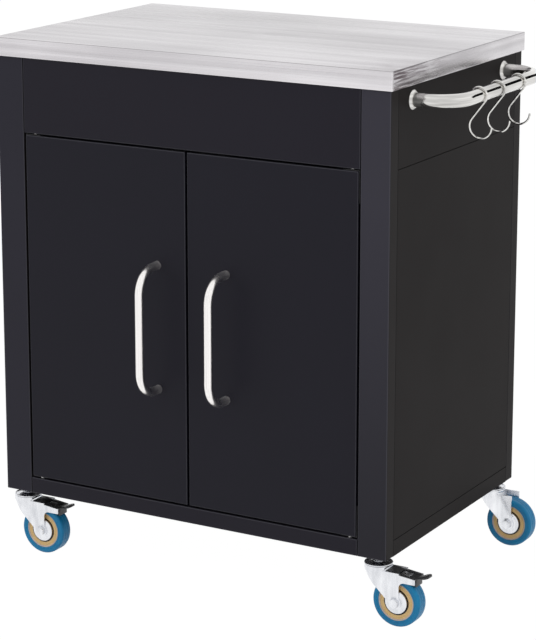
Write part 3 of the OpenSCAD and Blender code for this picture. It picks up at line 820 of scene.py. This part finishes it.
def hexagon(across: float, low: float, high: float) -> BMesh:
    """Make a hexagonal head or nut about the Z axis, with rounded edges.

    Args:
        across: Width across its flats.
        low: Height of one face.
        high: Height of the other face.

    Returns:
        The mesh.
    """
    shape = bmesh.new()
    radius = across / math.sqrt(3)
    middle = Matrix.Translation((0.0, 0.0, (low + high) / 2))
    sizes = {"radius1": radius, "radius2": radius, "depth": abs(high - low)}
    bmesh.ops.create_cone(shape, cap_ends=True, segments=6, matrix=middle, **sizes)
    return soften(shape, NUT_EDGE)


def written(name: str, shape: BMesh) -> Mesh:
    """Write a mesh out as mesh data.

    Args:
        name: The data's name.
        shape: The mesh; it is freed.

    Returns:
        The data.
    """
    mesh = bpy.data.meshes.new(name)
    shape.to_mesh(mesh)
    shape.free()
    return mesh


def linked(name: str, data: ID) -> Object:
    """Put an object into the scene.

    Args:
        name: The object's name.
        data: Its mesh, lamp or camera.

    Returns:
        The object.
    """
    made = bpy.data.objects.new(name, data)
    bpy.context.scene.collection.objects.link(made)
    return made


def join(shapes: Iterable[BMesh]) -> BMesh:
    """Put several meshes into one and free them.

    Args:
        shapes: The meshes.

    Returns:
        The joined mesh.
    """
    whole = bmesh.new()
    for shape in shapes:
        carrier = written("carrier", shape)
        whole.from_mesh(carrier)
        bpy.data.meshes.remove(carrier)
    return whole


def refined(node: str, width: float) -> BMesh:
    """Copy a CAD node's mesh, weld it, join its flat triangles and round its sharp edges.

    Args:
        node: The CAD node.
        width: Width of the rounding.

    Returns:
        The new mesh.
    """
    shape = bmesh.new()
    shape.from_mesh(frame["nodes"][node].data)
    bmesh.ops.remove_doubles(shape, verts=shape.verts, dist=WELD)
    bmesh.ops.dissolve_limit(shape, angle_limit=FLAT, verts=shape.verts, edges=shape.edges)
    return soften(shape, width)


class TubeDrawing:
    """Draws round tube or wire: a ring of vertices is pulled through runs and bends."""

    DOME_STEPS = 5

    def __init__(
        self, radius: float, sides: int, spot: Vector, heading: Vector, side: Vector
    ) -> None:
        """Start the tube with its first ring.

        Args:
            radius: Outer radius.
            sides: Facets round the tube.
            spot: Middle of the first ring.
            heading: Direction in which the tube leaves it.
            side: Direction across the tube that sets where its facets lie.
        """
        axes = Matrix((side, heading.cross(side), heading)).transposed().to_4x4()
        self.radius = radius
        self.place = Matrix.Translation(spot) @ axes
        self.shape = bmesh.new()
        ring = {"segments": sides, "radius": radius, "matrix": self.place}
        made = bmesh.ops.create_circle(self.shape, cap_ends=False, **ring)
        self.ring = {e for v in made["verts"] for e in v.link_edges}

    def domed(self) -> "TubeDrawing":
        """Close the first ring with a dome behind it.

        Returns:
            The drawing, which goes on from the first ring.
        """
        ring, place = self.ring, self.place
        self.place = place @ Matrix.Rotation(math.pi, 4, "X")
        self.dome()
        self.ring, self.place = ring, place
        return self

    @property
    def heading(self) -> Vector:
        """Direction in which the tube goes on."""
        return (self.place.to_3x3() @ UPWARD).normalized()

    def pull(self, move: Matrix) -> list[BMVert]:
        """Extrude the last ring and move the new one.

        Args:
            move: The world transform that the new ring gets.

        Returns:
            The new ring's vertices.
        """
        made = bmesh.ops.extrude_edge_only(self.shape, edges=list(self.ring))["geom"]
        verts = [g for g in made if isinstance(g, BMVert)]
        fresh = set(verts)
        self.ring = {g for g in made if isinstance(g, BMEdge) and set(g.verts) <= fresh}
        bmesh.ops.transform(self.shape, matrix=move, verts=verts)
        self.place = move @ self.place
        return verts

    def run(self, length: float) -> "TubeDrawing":
        """Add a straight run and return the drawing."""
        self.pull(Matrix.Translation(self.place.to_3x3() @ (UPWARD * length)))
        return self

    def bend(self, radius: float, angle: float, towards: Vector, steps: int = 20) -> "TubeDrawing":
        """Add a bend.

        Args:
            radius: Radius of the bend, to the middle of the tube.
            angle: Angle of the bend, in degrees.
            towards: Direction from the tube to the middle of the bend.
            steps: Rings in the bend.

        Returns:
            The drawing.
        """
        centre = self.place.translation + towards.normalized() * radius
        axis = self.heading.cross(towards).normalized()
        turn = Matrix.Rotation(math.radians(angle) / steps, 4, axis)
        step = Matrix.Translation(centre) @ turn @ Matrix.Translation(-centre)
        for _ in range(steps):
            self.pull(step)
        return self

    def dome(self) -> "TubeDrawing":
        """Close the last ring with a dome.

        Returns:
            The drawing.
        """
        heading = self.heading
        for step in range(1, self.DOME_STEPS):
            before, after = (RIGHT_ANGLE * s / self.DOME_STEPS for s in (step - 1, step))
            rise = heading * self.radius * (math.sin(after) - math.sin(before))
            verts = self.pull(Matrix.Translation(rise))
            shrink = (math.cos(after) / math.cos(before),) * 3
            centre = Matrix.Translation(-self.place.translation)
            bmesh.ops.scale(self.shape, vec=shrink, verts=verts, space=centre)
        bmesh.ops.contextual_create(self.shape, geom=list(self.ring))
        return self

    def closed(self) -> BMesh:
        """Close any open end flat and turn the faces outwards.

        Returns:
            The tube's mesh.
        """
        rim = [e for e in self.shape.edges if e.is_boundary]
        if rim:
            bmesh.ops.holes_fill(self.shape, edges=rim, sides=0)
        bmesh.ops.recalc_face_normals(self.shape, faces=self.shape.faces)
        return self.shape


class Workshop:
    """Turns finished meshes into pieces of the cart and dresses the CAD nodes that stay."""

    def __init__(self) -> None:
        """Build every finish once and read the nodes' slots and bodies from the record."""
        record = frame["record"]
        self.finishes = {finish: finish.value.build() for finish in Finish}
        self.slots = {s["node"]: s["material_slot"] for s in record["subparts"]}
        self.homes = {n: b for b, ns in record["behaviour"]["bodies"].items() for n in ns}

    def add(
        self, name: str, shape: BMesh, finish: Finish, node: str, sharp: float = 32.0
    ) -> None:
        """Make a piece that stands for a CAD node, on the same body.

        Args:
            name: The piece's name.
            shape: Its mesh, in place; it is freed.
            finish: Its finish.
            node: The CAD node that it replaces.
            sharp: Angle between two faces, in degrees, past which their edge stays sharp.
        """
        mesh = written(name, shape)
        mesh.shade_smooth()
        mesh.set_sharp_from_angle(angle=math.radians(sharp))
        mesh.materials.append(self.finishes[finish])
        piece = linked(name, mesh)
        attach(piece, self.homes[node])
        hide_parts(node)
        LOG.info("%s: %d faces on %s", name, len(mesh.polygons), self.homes[node])

    def refine(self, name: str, node: str, width: float, finish: Finish) -> None:
        """Add a piece that is the CAD node itself with its edges rounded by a width."""
        self.add(name, refined(node, width), finish, node)

    def dress(self, node: str, finish: Finish) -> None:
        """Give a CAD node that stays in view its finish.

        Args:
            node: The CAD node.
            finish: Its finish.
        """
        kept, material = frame["nodes"][node], self.finishes[finish]
        if not kept.material_slots:
            kept.data.materials.append(material)
        for held in kept.material_slots:
            held.material = material
        LOG.info("%s: dressed", node)


# Sub-assemblies


@dataclass
class Worktop:
    """Steel sheet folded down round a board, with a hem turned in under the board."""

    shop: Workshop
    sheet: float = 1.0 * MM
    hem: float = 11.0 * MM
    fold: float = 1.0 * MM
    fold_steps: int = 4

    def build(self) -> None:
        """Build the sheet and dress the board under it."""
        low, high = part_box("worktop_skin")
        core_low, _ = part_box("worktop_core")
        shape = block(low, high)
        outer = list(shape.edges)
        under = min(shape.faces, key=lambda f: f.calc_center_median().z)
        bmesh.ops.inset_region(
            shape, faces=[under], thickness=self.sheet + self.hem, use_even_offset=True
        )
        opening = max(self._downward(shape), key=lambda f: f.calc_area())
        self._raise(shape, opening, core_low.z - low.z, 0.0)
        ceiling = max(self._downward(shape), key=lambda f: f.calc_center_median().z)
        ceiling = self._raise(shape, ceiling, 0.0, self.hem)
        self._raise(shape, ceiling, high.z - self.sheet - core_low.z, 0.0)
        bevel(shape, (e for e in outer if e.is_valid), self.fold, self.fold_steps)
        bmesh.ops.recalc_face_normals(shape, faces=shape.faces)
        self.shop.add("folded_steel_top", shape, Finish.STEEL, "worktop_skin")
        self.shop.dress("worktop_core", Finish.BOARD)

    @staticmethod
    def _downward(shape: BMesh) -> list[BMFace]:
        """The faces that look down."""
        return [f for f in shape.faces if f.normal.z < -LEVEL]

    @staticmethod
    def _raise(shape: BMesh, face: BMFace, rise: float, widen: float) -> BMFace:
        """Extrude a face up into the block, or widen it where it is.

        Args:
            shape: The mesh.
            face: The face that is extruded.
            rise: How far it moves up.
            widen: How far its sides move out.

        Returns:
            The face at the end of the extrusion.
        """
        made = bmesh.ops.extrude_discrete_faces(shape, faces=[face])["faces"][0]
        centre = made.calc_center_median()
        size = [max(v.co[i] for v in made.verts) - centre[i] for i in (0, 1)]
        stretch = (1 + widen / size[0], 1 + widen / size[1], 1.0)
        bmesh.ops.scale(shape, vec=stretch, verts=made.verts, space=Matrix.Translation(-centre))
        bmesh.ops.translate(shape, vec=(0.0, 0.0, rise), verts=made.verts)
        return made


@dataclass
class Cabinet:
    """Posts, boards and small fittings of the cabinet."""

    shop: Workshop
    catch_round: float = 0.8 * MM
    posts: tuple[str, ...] = ("post_front_left", "post_rear_left", "post_rear_right")
    # the front right post gets the post lacquer with painted light
    lit_posts: tuple[str, ...] = ("post_front_right",)
    fronts: tuple[str, ...] = ("apron", "front_rail")
    boards: tuple[str, ...] = ("back_panel", "floor_board", "shelf")
    fittings: tuple[str, ...] = ("shelf_pins", "pivot_bushings")

    def build(self) -> None:
        """Dress the boards and build the small fittings."""
        kinds = ("side_rail", "side_panel", "side_plinth")
        sides = tuple(f"{kind}_{side.word}" for side in Side for kind in kinds)
        for nodes, finish in (
            (self.posts, Finish.POST),
            (self.lit_posts, Finish.LIT_POST),
            (self.fronts, Finish.APRON),
            (sides + self.boards, Finish.SIDE),
            (self.fittings, Finish.ZINC),
        ):
            for node in nodes:
                self.shop.dress(node, finish)
        self.shop.refine("magnetic_catches", "door_catches", self.catch_round, Finish.CATCH)


@dataclass(frozen=True)
class BowTube:
    """Sizes of a tube bent into a bow with two feet."""

    radius: float
    bend: float
    reach: float
    span: float
    sides: int

    def draw(self, foot: Vector, out: Vector, along: Vector) -> BMesh:
        """Draw the bow from its first foot.

        Args:
            foot: Middle of the first foot, on the face that carries it.
            out: Direction from that face.
            along: Direction from the first foot to the second.

        Returns:
            The bow, closed at both feet.
        """
        drawing = TubeDrawing(self.radius, self.sides, foot, heading=out, side=along)
        drawing.run(self.reach - self.bend).bend(self.bend, 90.0, along)
        drawing.run(self.span - 2 * self.bend).bend(self.bend, 90.0, -out)
        return drawing.run(self.reach - self.bend).closed()


@dataclass
class Door:
    """One door with its pivot plates, its magnet striker and its bow handle.

    The pin and the screw are given by their radius, the plate by its thickness.
    """

    shop: Workshop
    side: Side
    bow: BowTube = BowTube(6.5 * MM, bend=36.0 * MM, reach=50.0 * MM, span=188.0 * MM, sides=48)
    plate_round: float = 0.3 * MM
    plate: float = 1.2 * MM
    pin: float = 3.03 * MM
    pin_inset: float = 12.5 * MM
    pin_shown: float = 3.5 * MM
    screw: float = 3.6 * MM
    screw_deep: float = 0.85 * MM
    screw_drops: Pair = (15.18 * MM, 34.96 * MM)
    steps: int = 32

    def build(self) -> None:
        """Dress the door and build what it carries."""
        shop, word = self.shop, self.side.word
        plates, striker = f"pivot_plates_{word}", f"striker_{word}"
        shop.dress(f"door_{word}", Finish.PANEL)
        shop.refine(f"{plates}_fitted", plates, self.plate_round, Finish.PEDAL)
        shop.add(f"pivot_pins_{word}", self._pins_and_screws(), Finish.HANDLE, plates)
        shop.refine(f"{striker}_fitted", striker, self.plate_round, Finish.ZINC)
        shop.dress(f"handle_screws_{word}", Finish.ZINC)
        low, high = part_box(f"handle_{word}")
        middle = (low + high) / 2
        foot = Vector((middle.x, high.y, middle.z - self.bow.span / 2))
        bow = self.bow.draw(foot, out=-BACKWARD, along=UPWARD)
        shop.add(f"bow_handle_{word}", bow, Finish.HANDLE, f"handle_{word}")

    def _pins_and_screws(self) -> BMesh:
        """Make the bright pivot pins and screw heads, which stand over those of the plates.

        Returns:
            All of them in one mesh.
        """
        low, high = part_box(f"door_{self.side.word}")
        out = self.side.value
        edge = high.x if self.side is Side.RIGHT else low.x
        middle = (low.y + high.y) / 2
        pin = [(0.0, self.plate), (self.pin, self.plate)]
        pin += [(self.pin, self.pin_shown), (0.0, self.pin_shown)]
        head = [(0.0, 0.0), (self.screw, 0.0), (self.screw * 0.82, self.screw_deep * 0.6)]
        head += [(self.screw * 0.5, self.screw_deep), (0.0, self.screw_deep)]
        shapes = []
        for end, up, turn in ((low.z, -1.0, math.pi), (high.z, 1.0, 0.0)):
            spot = Vector((edge - out * self.pin_inset, middle, end))
            shapes.append(placed(turned(pin, self.steps), spot, turn))
            for drop in self.screw_drops:
                spot = Vector((edge + out * self.plate, middle, end - up * drop))
                shapes.append(placed(turned(head, self.steps), spot, out * RIGHT_ANGLE, "Y"))
        return join(shapes)


@dataclass
class TowelRail:
    """Bent chrome tube on the right side, with a thin flange round each foot.

    The flange is given by its radius, the rim and the whole flange by how deep they are.
    """

    shop: Workshop
    bow: BowTube = BowTube(10.0 * MM, bend=46.0 * MM, reach=65.0 * MM, span=300.0 * MM, sides=64)
    flange: float = 14.0 * MM
    rim_deep: float = 1.5 * MM
    flange_deep: float = 4.0 * MM

    def build(self) -> None:
        """Build the tube and its flanges and dress the screws."""
        low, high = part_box("towel_rail")
        middle = (low + high) / 2
        foot = Vector((low.x, middle.y - self.bow.span / 2, middle.z))
        tube = self.bow.draw(foot, out=RIGHTWARD, along=BACKWARD)
        self.shop.add("towel_rail_tube", tube, Finish.CHROME, "towel_rail")
        feet = (foot, foot + BACKWARD * self.bow.span)
        rings = join(placed(self._flange(), spot, RIGHT_ANGLE, "Y") for spot in feet)
        self.shop.add("towel_rail_rings", rings, Finish.CHROME, "rail_flanges")
        self.shop.dress("rail_screws", Finish.ZINC)

    def _flange(self) -> BMesh:
        """Make a flange with its rim.

        Returns:
            The mesh.
        """
        tube, flange = self.bow.radius, self.flange
        profile = traced([(tube, 0.0, 0.0), (flange, -0.3, 0.0), (flange, 0.0, 0.3)])
        profile += traced([(flange, 0.0, -0.4), (flange, -0.4, 0.0)], self.rim_deep)
        rows = [(tube, 2.0, -1.0), (tube, 1.5, -0.3), (tube, 1.0, 0.0), (tube, 0.0, 0.0)]
        return turned(profile + traced(rows, self.flange_deep), closed=True)


@dataclass
class SHook:
    """Bent wire hook that hangs on the towel rail, whose radius it is given.

    Its upper and lower loops end at angles in degrees, counted from +X.
    """

    shop: Workshop
    name: str
    rail: float
    slack: float = 0.4 * MM
    wire: float = 1.5 * MM
    low_radius: float = 17.0 * MM
    low_centre: Pair = (2.5 * MM, -44.0 * MM)
    up_end: float = 188.0
    low_end: float = 356.0
    sides: int = 24
    steps: int = 44
    sharp: float = 60.0

    def build(self, middle: Vector) -> None:
        """Build the hook round the point of the rail's axis that it hangs on.

        Args:
            middle: That point.
        """
        up_radius = self.rail + self.slack + self.wire
        loops = up_radius + self.low_radius
        apart = Vector(self.low_centre).length
        shank = math.sqrt(apart**2 - loops**2)
        away = math.atan2(self.low_centre[1], self.low_centre[0]) + math.acos(loops / apart)
        leave = math.degrees(away)
        turn = math.radians(self.up_end)
        outward = Vector((math.cos(turn), 0.0, math.sin(turn)))
        heading = Vector((math.sin(turn), 0.0, -math.cos(turn)))
        start = middle + outward * up_radius
        wire = TubeDrawing(self.wire, self.sides, start, heading, side=outward).domed()
        wire.bend(up_radius, self.up_end - leave, -outward, self.steps).run(shank)
        inward = Vector((math.cos(away), 0.0, math.sin(away)))
        wire.bend(self.low_radius, self.low_end - leave - 180.0, inward, self.steps).dome()
        shape = wire.closed()
        self.shop.add(f"{self.name}_wire", shape, Finish.CHROME, self.name, self.sharp)


@dataclass
class Caster:
    """One swivel caster: pressed fork, wheel, axle bolt, covers and, in front, a brake pedal.

    A size named after a piece alone is its radius. The half width and the cheeks' inner and
    outer faces are measured from the middle of the wheel.
    """

    shop: Workshop
    corner: Corner
    wheel: float = 37.5 * MM
    half_width: float = 11.5 * MM
    rim: float = 28.0 * MM
    shoulder: float = 3.6 * MM
    shoulder_steps: int = 6
    boss: float = 9.5 * MM
    bolt: float = 4.0 * MM
    groove: float = 19.6 * MM
    web: float = 26.5 * MM
    cheek_in: float = 13.7 * MM
    cheek_out: float = 15.7 * MM
    cover: float = 17.3 * MM
    nut_across: float = 13.0 * MM
    nut_deep: float = 5.0 * MM
    bolt_tail: float = 2.0 * MM
    pressed_round: float = 0.5 * MM
    wheel_steps: int = 128
    bolt_steps: int = 48

    def build(self, axle: Vector) -> None:
        """Build the caster's pieces.

        Args:
            axle: Middle of the wheel's axle.
        """
        shop, word = self.shop, self.corner.value
        shop.refine(f"pressed_fork_{word}", f"fork_{word}", self.pressed_round, Finish.ZINC)
        if self.corner.braked:
            node = f"brake_pedal_{self.corner.side.word}"
            shop.refine(f"{node}_enamelled", node, self.pressed_round, Finish.PEDAL)
        for name, draw, finish, node in (
            ("tyre_tread", self._tyre, Finish.TYRE, "tyre"),
            ("wheel_centre", self._hub, Finish.HUB, "hub"),
            ("rim_lip", self._lip, Finish.LIP, "hub"),
            # painted shade: a black ring where the groove round the cover lies in shade
            ("groove_ring", self._groove_rings, Finish.PEDAL, "hub"),
            ("bearing_covers", self._covers, Finish.ZINC, "dust_covers"),
            ("axle_bolt", self._bolt, Finish.ZINC, "axle"),
        ):
            lying = placed(draw(), axle, RIGHT_ANGLE)
            shop.add(f"{name}_{word}", lying, finish, f"{node}_{word}")

    def _whole(self, half: list[Pair]) -> BMesh:
        """Turn a profile that is completed by its mirror image."""
        return turned(half + mirrored(half)[::-1], self.wheel_steps, closed=True)

    def _both_sides(self, front: list[Pair]) -> BMesh:
        """Turn a closed profile on the front of the wheel and again, mirrored, on its back."""
        return join(turned(half, closed=True) for half in (front, mirrored(front)))

    def _tyre(self) -> BMesh:
        """Make a tyre with round shoulders, a fine step in its side and two tread grooves.

        Returns:
            The mesh.
        """
        steps = ((0.0, -0.5), (0.5, -0.1), (2.2, 0.0), (2.6, -0.35), (3.2, -0.35), (3.6, 0.0))
        grooves = ((0.0, 3.4), (-0.5, 3.1), (-0.5, 2.6), (0.0, 2.3))
        centre = (self.wheel - self.shoulder, self.half_width - self.shoulder)
        half = traced([(self.rim, *step) for step in steps], self.half_width)
        half += arc(centre, self.shoulder, start=90.0, end=0.0, steps=self.shoulder_steps)
        return self._whole(half + traced([(self.wheel, *step) for step in grooves]))

    def _hub(self) -> BMesh:
        """Make a wheel centre: web with a moulded step, groove round the bearing and boss.

        Returns:
            The mesh.
        """
        bolt, boss, groove, web, rim = self.bolt, self.boss, self.groove, self.web, self.rim
        rows = [(bolt, 0.1, -0.2), (bolt, 0.5, 0.0), (boss, -0.3, 0.0), (boss, 0.0, -0.3)]
        rows += [(boss, 0.8, -3.0), (groove, -1.0, -3.0), (groove, -0.2, -1.8)]
        rows += [(groove, 0.4, -1.6), (groove, 3.4, -1.6), (groove, 3.8, -1.9)]
        rows += [(groove, 4.4, -1.9), (groove, 4.8, -1.6), (web, -0.2, -1.6)]
        rows += [(web, 0.4, -0.5), (rim, -0.3, -0.4), (rim, 0.0, -0.8)]
        return self._whole(traced(rows, self.half_width))

    def _lip(self) -> BMesh:
        """Make the pale raised lip on both sides of the rim.

        Returns:
            Both lips in one mesh.
        """
        web, rim = self.web, self.rim
        rows = [(web, -0.6, -2.2), (rim, -0.1, -2.2), (rim, -0.1, -0.7), (rim, -0.5, -0.25)]
        rows += [(web, 0.5, -0.35), (web, -0.1, -0.8), (web, -0.6, -1.5)]
        return self._both_sides(traced(rows, self.half_width))

    def _groove_rings(self) -> BMesh:
        """Make the black ring that paints the shade in the groove round each bearing cover.

        Returns:
            Both rings in one mesh.
        """
        cover, groove = self.cover, self.groove
        rows = [(cover, -0.6, -3.1), (groove, 0.1, -3.1), (groove, 0.1, -1.5)]
        rows += [(groove, -0.4, -1.4), (groove, -0.9, -2.8), (cover, -0.6, -2.8)]
        return self._both_sides(traced(rows, self.half_width))

    def _covers(self) -> BMesh:
        """Make the two domed covers over the bearings, each with a rolled rim.

        Returns:
            Both covers in one mesh.
        """
        bolt, cover = self.bolt, self.cover
        rows = [(bolt, 0.02, 0.4), (cover, -0.6, -0.4), (cover, 0.0, -0.2)]
        profile = traced([*rows, (cover, 0.0, 0.5), (cover, -0.6, 1.0)], self.half_width)
        rows = [(cover, -2.2, -0.5), (cover, -4.0, -0.15)]
        rows += [(self.boss, 0.0, 0.0), (bolt, 0.02, 0.0)]
        return self._both_sides(profile + traced(rows, self.cheek_in))

    def _bolt(self) -> BMesh:
        """Make the axle bolt, with a rounded head in front and a rounded nut behind.

        Returns:
            The mesh.
        """
        out, bolt = self.cheek_out, self.bolt
        end = -(out + self.nut_deep + self.bolt_tail)
        shank = [(0.0, end), *traced([(bolt, -0.6, 0.0), (bolt, 0.0, 0.6)], end)]
        shank = turned([*shank, (bolt, out), (0.0, out)], self.bolt_steps)
        head = hexagon(self.nut_across, out, out + self.nut_deep)
        return join([shank, head, hexagon(self.nut_across, -out, -out - self.nut_deep)])


@dataclass
class CasterSockets:
    """What the cabinet carries above each fork: stem, hexagon, pressed cap, kingpin and rivet.

    A size named after a piece alone is its radius.
    """

    shop: Workshop
    hexagon_across: float = 13.0 * MM
    hexagon_high: float = 8.0 * MM
    cap_high: float = 4.0 * MM
    cap: float = 21.0 * MM
    roll: float = 1.1 * MM
    kingpin: float = 6.0 * MM
    rivet: float = 8.5 * MM
    stem: float = 5.0 * MM
    stem_steps: int = 64
    roll_steps: int = 12

    def build(self, spots: Sequence[Vector]) -> None:
        """Build the stems and the caps.

        Args:
            spots: Points where the four swivel axes meet the cabinet's underside.
        """
        low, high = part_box("caster_stems")
        stems, caps = [], []
        for spot in spots:
            nut = hexagon(self.hexagon_across, -self.hexagon_high, 0.0)
            stems.append(placed(self._stem(low.z - spot.z, high.z - spot.z), spot))
            stems.append(placed(nut, spot))
            caps.append(placed(self._cap(), spot))
        self.shop.add("caster_stems_set", join(stems), Finish.ZINC, "caster_stems")
        self.shop.add("caster_caps_set", join(caps), Finish.ZINC, "caster_caps")

    def _stem(self, low: float, high: float) -> BMesh:
        """Turn a stem with its kingpin and domed rivet.

        Args:
            low: Height of the rivet's underside.
            high: Height of the stem's end.

        Returns:
            The mesh.
        """
        rivet, kingpin, stem = self.rivet, self.kingpin, self.stem
        rows = [(0.0, 0.0, 0.0), (rivet * 0.6, 0.0, 0.1), (rivet * 0.9, 0.0, 0.7)]
        rows += [(rivet, 0.0, 1.4), (rivet, 0.0, 2.0), (kingpin, 0.0, 2.0)]
        profile = traced(rows, low)
        profile += traced([(kingpin, 0.0, 0.1), (stem, 0.0, 0.1)], -self.hexagon_high)
        profile += traced([(stem, 0.0, -1.0), (stem, -1.0, 0.0), (0.0, 0.0, 0.0)], high)
        return turned(profile, self.stem_steps)

    def _cap(self) -> BMesh:
        """Make a pressed cap with a rolled rim, raised round the hexagon.

        Returns:
            The mesh.
        """
        top = -self.hexagon_high
        base = top - self.cap_high
        roll, bead, raised = self.roll, self.cap - self.roll, self.hexagon_across / 2
        profile = traced([(self.kingpin, 0.02, 0.0)], base)
        profile += arc((bead, base + roll), roll, -90.0, 150.0, self.roll_steps)
        profile += [(bead - 1.4 * roll, base + 0.9 * roll), (bead - 4.0 * roll, base + 1.05 * roll)]
        rows = [(raised, 2.8, -0.5), (raised, 2.0, 0.0), (self.kingpin, 0.02, 0.0)]
        return turned(profile + traced(rows, top), closed=True)


@dataclass(frozen=True)
class SoftLamp:
    """Place, aim, size and power of one square lamp."""

    name: str
    place: Triple
    target: Triple
    size: float
    power: float

    def build(self) -> None:
        """Hang the lamp, out of sight of reflections."""
        data = bpy.data.lights.new(self.name, "AREA")
        data.shape = "SQUARE"
        data.size = self.size
        data.energy = self.power
        lamp = linked(self.name, data)
        lamp.location = self.place
        aim = Vector(self.target) - Vector(self.place)
        lamp.rotation_euler = aim.to_track_quat("-Z", "Y").to_euler()
        lamp.visible_glossy = False


@dataclass
class Studio:
    """Camera, lamps, floor, black card and world."""

    eye: Triple = (1.7793, -3.1287, 1.3282)
    yaw: float = 29.82
    pitch: float = 13.05
    lens: float = 137.83
    shift: Pair = (0.0, -0.12)
    clip: Pair = (0.05, 100.0)
    floor_size: float = 40.0
    floor_tone: Colour = (0.95, 0.95, 0.95)
    floor_glow: float = 1.03
    floor_share: float = 0.97
    card: Triple = (1.02, 1.32, 1.2)
    card_aim: Triple = (0.0, 0.0, 0.6)
    card_size: Pair = (1.0, 0.46)
    card_tone: Colour = (0.01, 0.01, 0.01)
    soft_tone: Colour = (0.9, 0.93, 1.0)
    soft_strength: float = 0.45
    lamps: tuple[SoftLamp, ...] = (
        SoftLamp("top_lamp", (0.2, -0.6, 3.2), (0.0, 0.0, 0.8), size=2.4, power=34.0),
        SoftLamp("left_lamp", (-3.0, -2.6, 1.8), (0.0, 0.0, 0.5), size=2.0, power=26.0),
        SoftLamp("right_lamp", (3.2, -0.8, 1.6), (0.2, 0.0, 0.5), size=1.8, power=18.0),
    )

    def build(self) -> None:
        """Set up the camera first, then the light and the floor."""
        self._camera()
        self._world()
        self._floor()
        for lamp in self.lamps:
            lamp.build()
        self._card()
        bpy.context.scene.view_settings.view_transform = "Standard"

    def _camera(self) -> None:
        """Place the camera at the photograph's viewing angle."""
        data = bpy.data.cameras.new("cart_camera")
        data.lens = self.lens
        data.shift_x, data.shift_y = self.shift
        data.clip_start, data.clip_end = self.clip
        camera = linked("cart_camera", data)
        camera.location = self.eye
        camera.rotation_euler = (math.radians(90.0 - self.pitch), 0.0, math.radians(self.yaw))
        bpy.context.scene.camera = camera

    @staticmethod
    def _seen_or_mirrored(nodes: Nodes) -> NodeSocket:
        """Value that is 1 to the camera, in reflections and through glass, and 0 otherwise.

        Args:
            nodes: The node tree that gets the nodes.

        Returns:
            The value's socket.
        """
        path = nodes.add("LightPath").outputs
        seen = nodes.calc("MAXIMUM", path["Is Camera Ray"], path["Is Glossy Ray"])
        return nodes.calc("MAXIMUM", seen, path["Is Transmission Ray"])

    def _world(self) -> None:
        """White to the camera and in reflections, and a plain level on dull surfaces."""
        world = bpy.data.worlds.new("studio")
        bpy.context.scene.world = world
        world.use_nodes = True
        nodes = Nodes(world.node_tree)
        nodes.tree.nodes.clear()
        soft = nodes.add("Background", {"Color": self.soft_tone, "Strength": self.soft_strength})
        white = nodes.add("Background", {"Color": (1.0, 1.0, 1.0), "Strength": 1.0})
        shown = self._seen_or_mirrored(nodes)
        mix = nodes.add("MixShader", {0: shown, 1: soft.outputs[0], 2: white.outputs[0]})
        nodes.add("OutputWorld", {"Surface": mix.outputs[0]})

    @staticmethod
    def _sheet(name: str, material: Material, place: Matrix) -> Object:
        """Lay out a flat sheet of the studio, which is no part of the cart.

        Args:
            name: The sheet's name.
            material: Its material.
            place: The matrix that sizes, turns and moves a sheet of one metre square.

        Returns:
            The sheet's object.
        """
        shape = bmesh.new()
        bmesh.ops.create_grid(shape, x_segments=1, y_segments=1, size=0.5, matrix=place)
        mesh = written(name, shape)
        mesh.materials.append(material)
        sheet = linked(name, mesh)
        return sheet

    def _card(self) -> None:
        """Black studio card behind the cart, which shows only in reflections."""
        made = Surface("black_card_paper")
        made.set(Base_Color=self.card_tone, Roughness=0.9, Specular_IOR_Level=0.0)
        facing = Vector(self.card_aim) - Vector(self.card)
        facing.z = 0.0
        turn = facing.to_track_quat("Z", "Y").to_matrix().to_4x4()
        size = Matrix.Diagonal((*self.card_size, 1.0, 1.0))
        card = self._sheet("black_card", made.material, Matrix.Translation(self.card) @ turn @ size)
        card.visible_camera = card.visible_shadow = card.visible_diffuse = False

    def _floor(self) -> None:
        """Pale floor that keeps a faint shadow and reads white to the camera."""
        made = Surface("floor_paper")
        made.set(Base_Color=self.floor_tone, Roughness=0.9, Specular_IOR_Level=0.1)
        glow = made.add("Emission", {"Strength": self.floor_glow})
        share = made.calc("MULTIPLY", self._seen_or_mirrored(made), self.floor_share)
        mix = made.add("MixShader", {0: share, 1: made.shader.outputs[0], 2: glow.outputs[0]})
        made.fill(made.tree.nodes["Material Output"].inputs["Surface"], mix.outputs[0])
        size = Matrix.Diagonal((self.floor_size, self.floor_size, 1.0, 1.0))
        self._sheet("studio_floor", made.material, size)


def joint_place(name: str) -> Vector:
    """Point of a joint's axis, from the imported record."""
    return next(Vector(j["pos_m"]) for j in frame["joints"] if j["name"] == name)


def main() -> None:
    """Build the studio and the cart, sub-assembly by sub-assembly."""
    logging.basicConfig(level=logging.INFO, format="%(message)s")
    Studio().build()
    shop = Workshop()
    Worktop(shop).build()
    Cabinet(shop).build()
    for side in Side:
        Door(shop, side).build()
    rail = TowelRail(shop)
    rail.build()
    for word in ("front", "middle", "rear"):
        hook = SHook(shop, f"s_hook_{word}", rail.bow.radius)
        hook.build(joint_place(f"hook_{word}_swing"))
    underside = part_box("post_front_left")[0].z
    spots = []
    for corner in Corner:
        Caster(shop, corner).build(joint_place(f"wheel_{corner.value}_roll"))
        axis = joint_place(f"swivel_{corner.value}_turn")
        spots.append(Vector((axis.x, axis.y, underside)))
    CasterSockets(shop).build(spots)


if __name__ == "__main__":
    main()
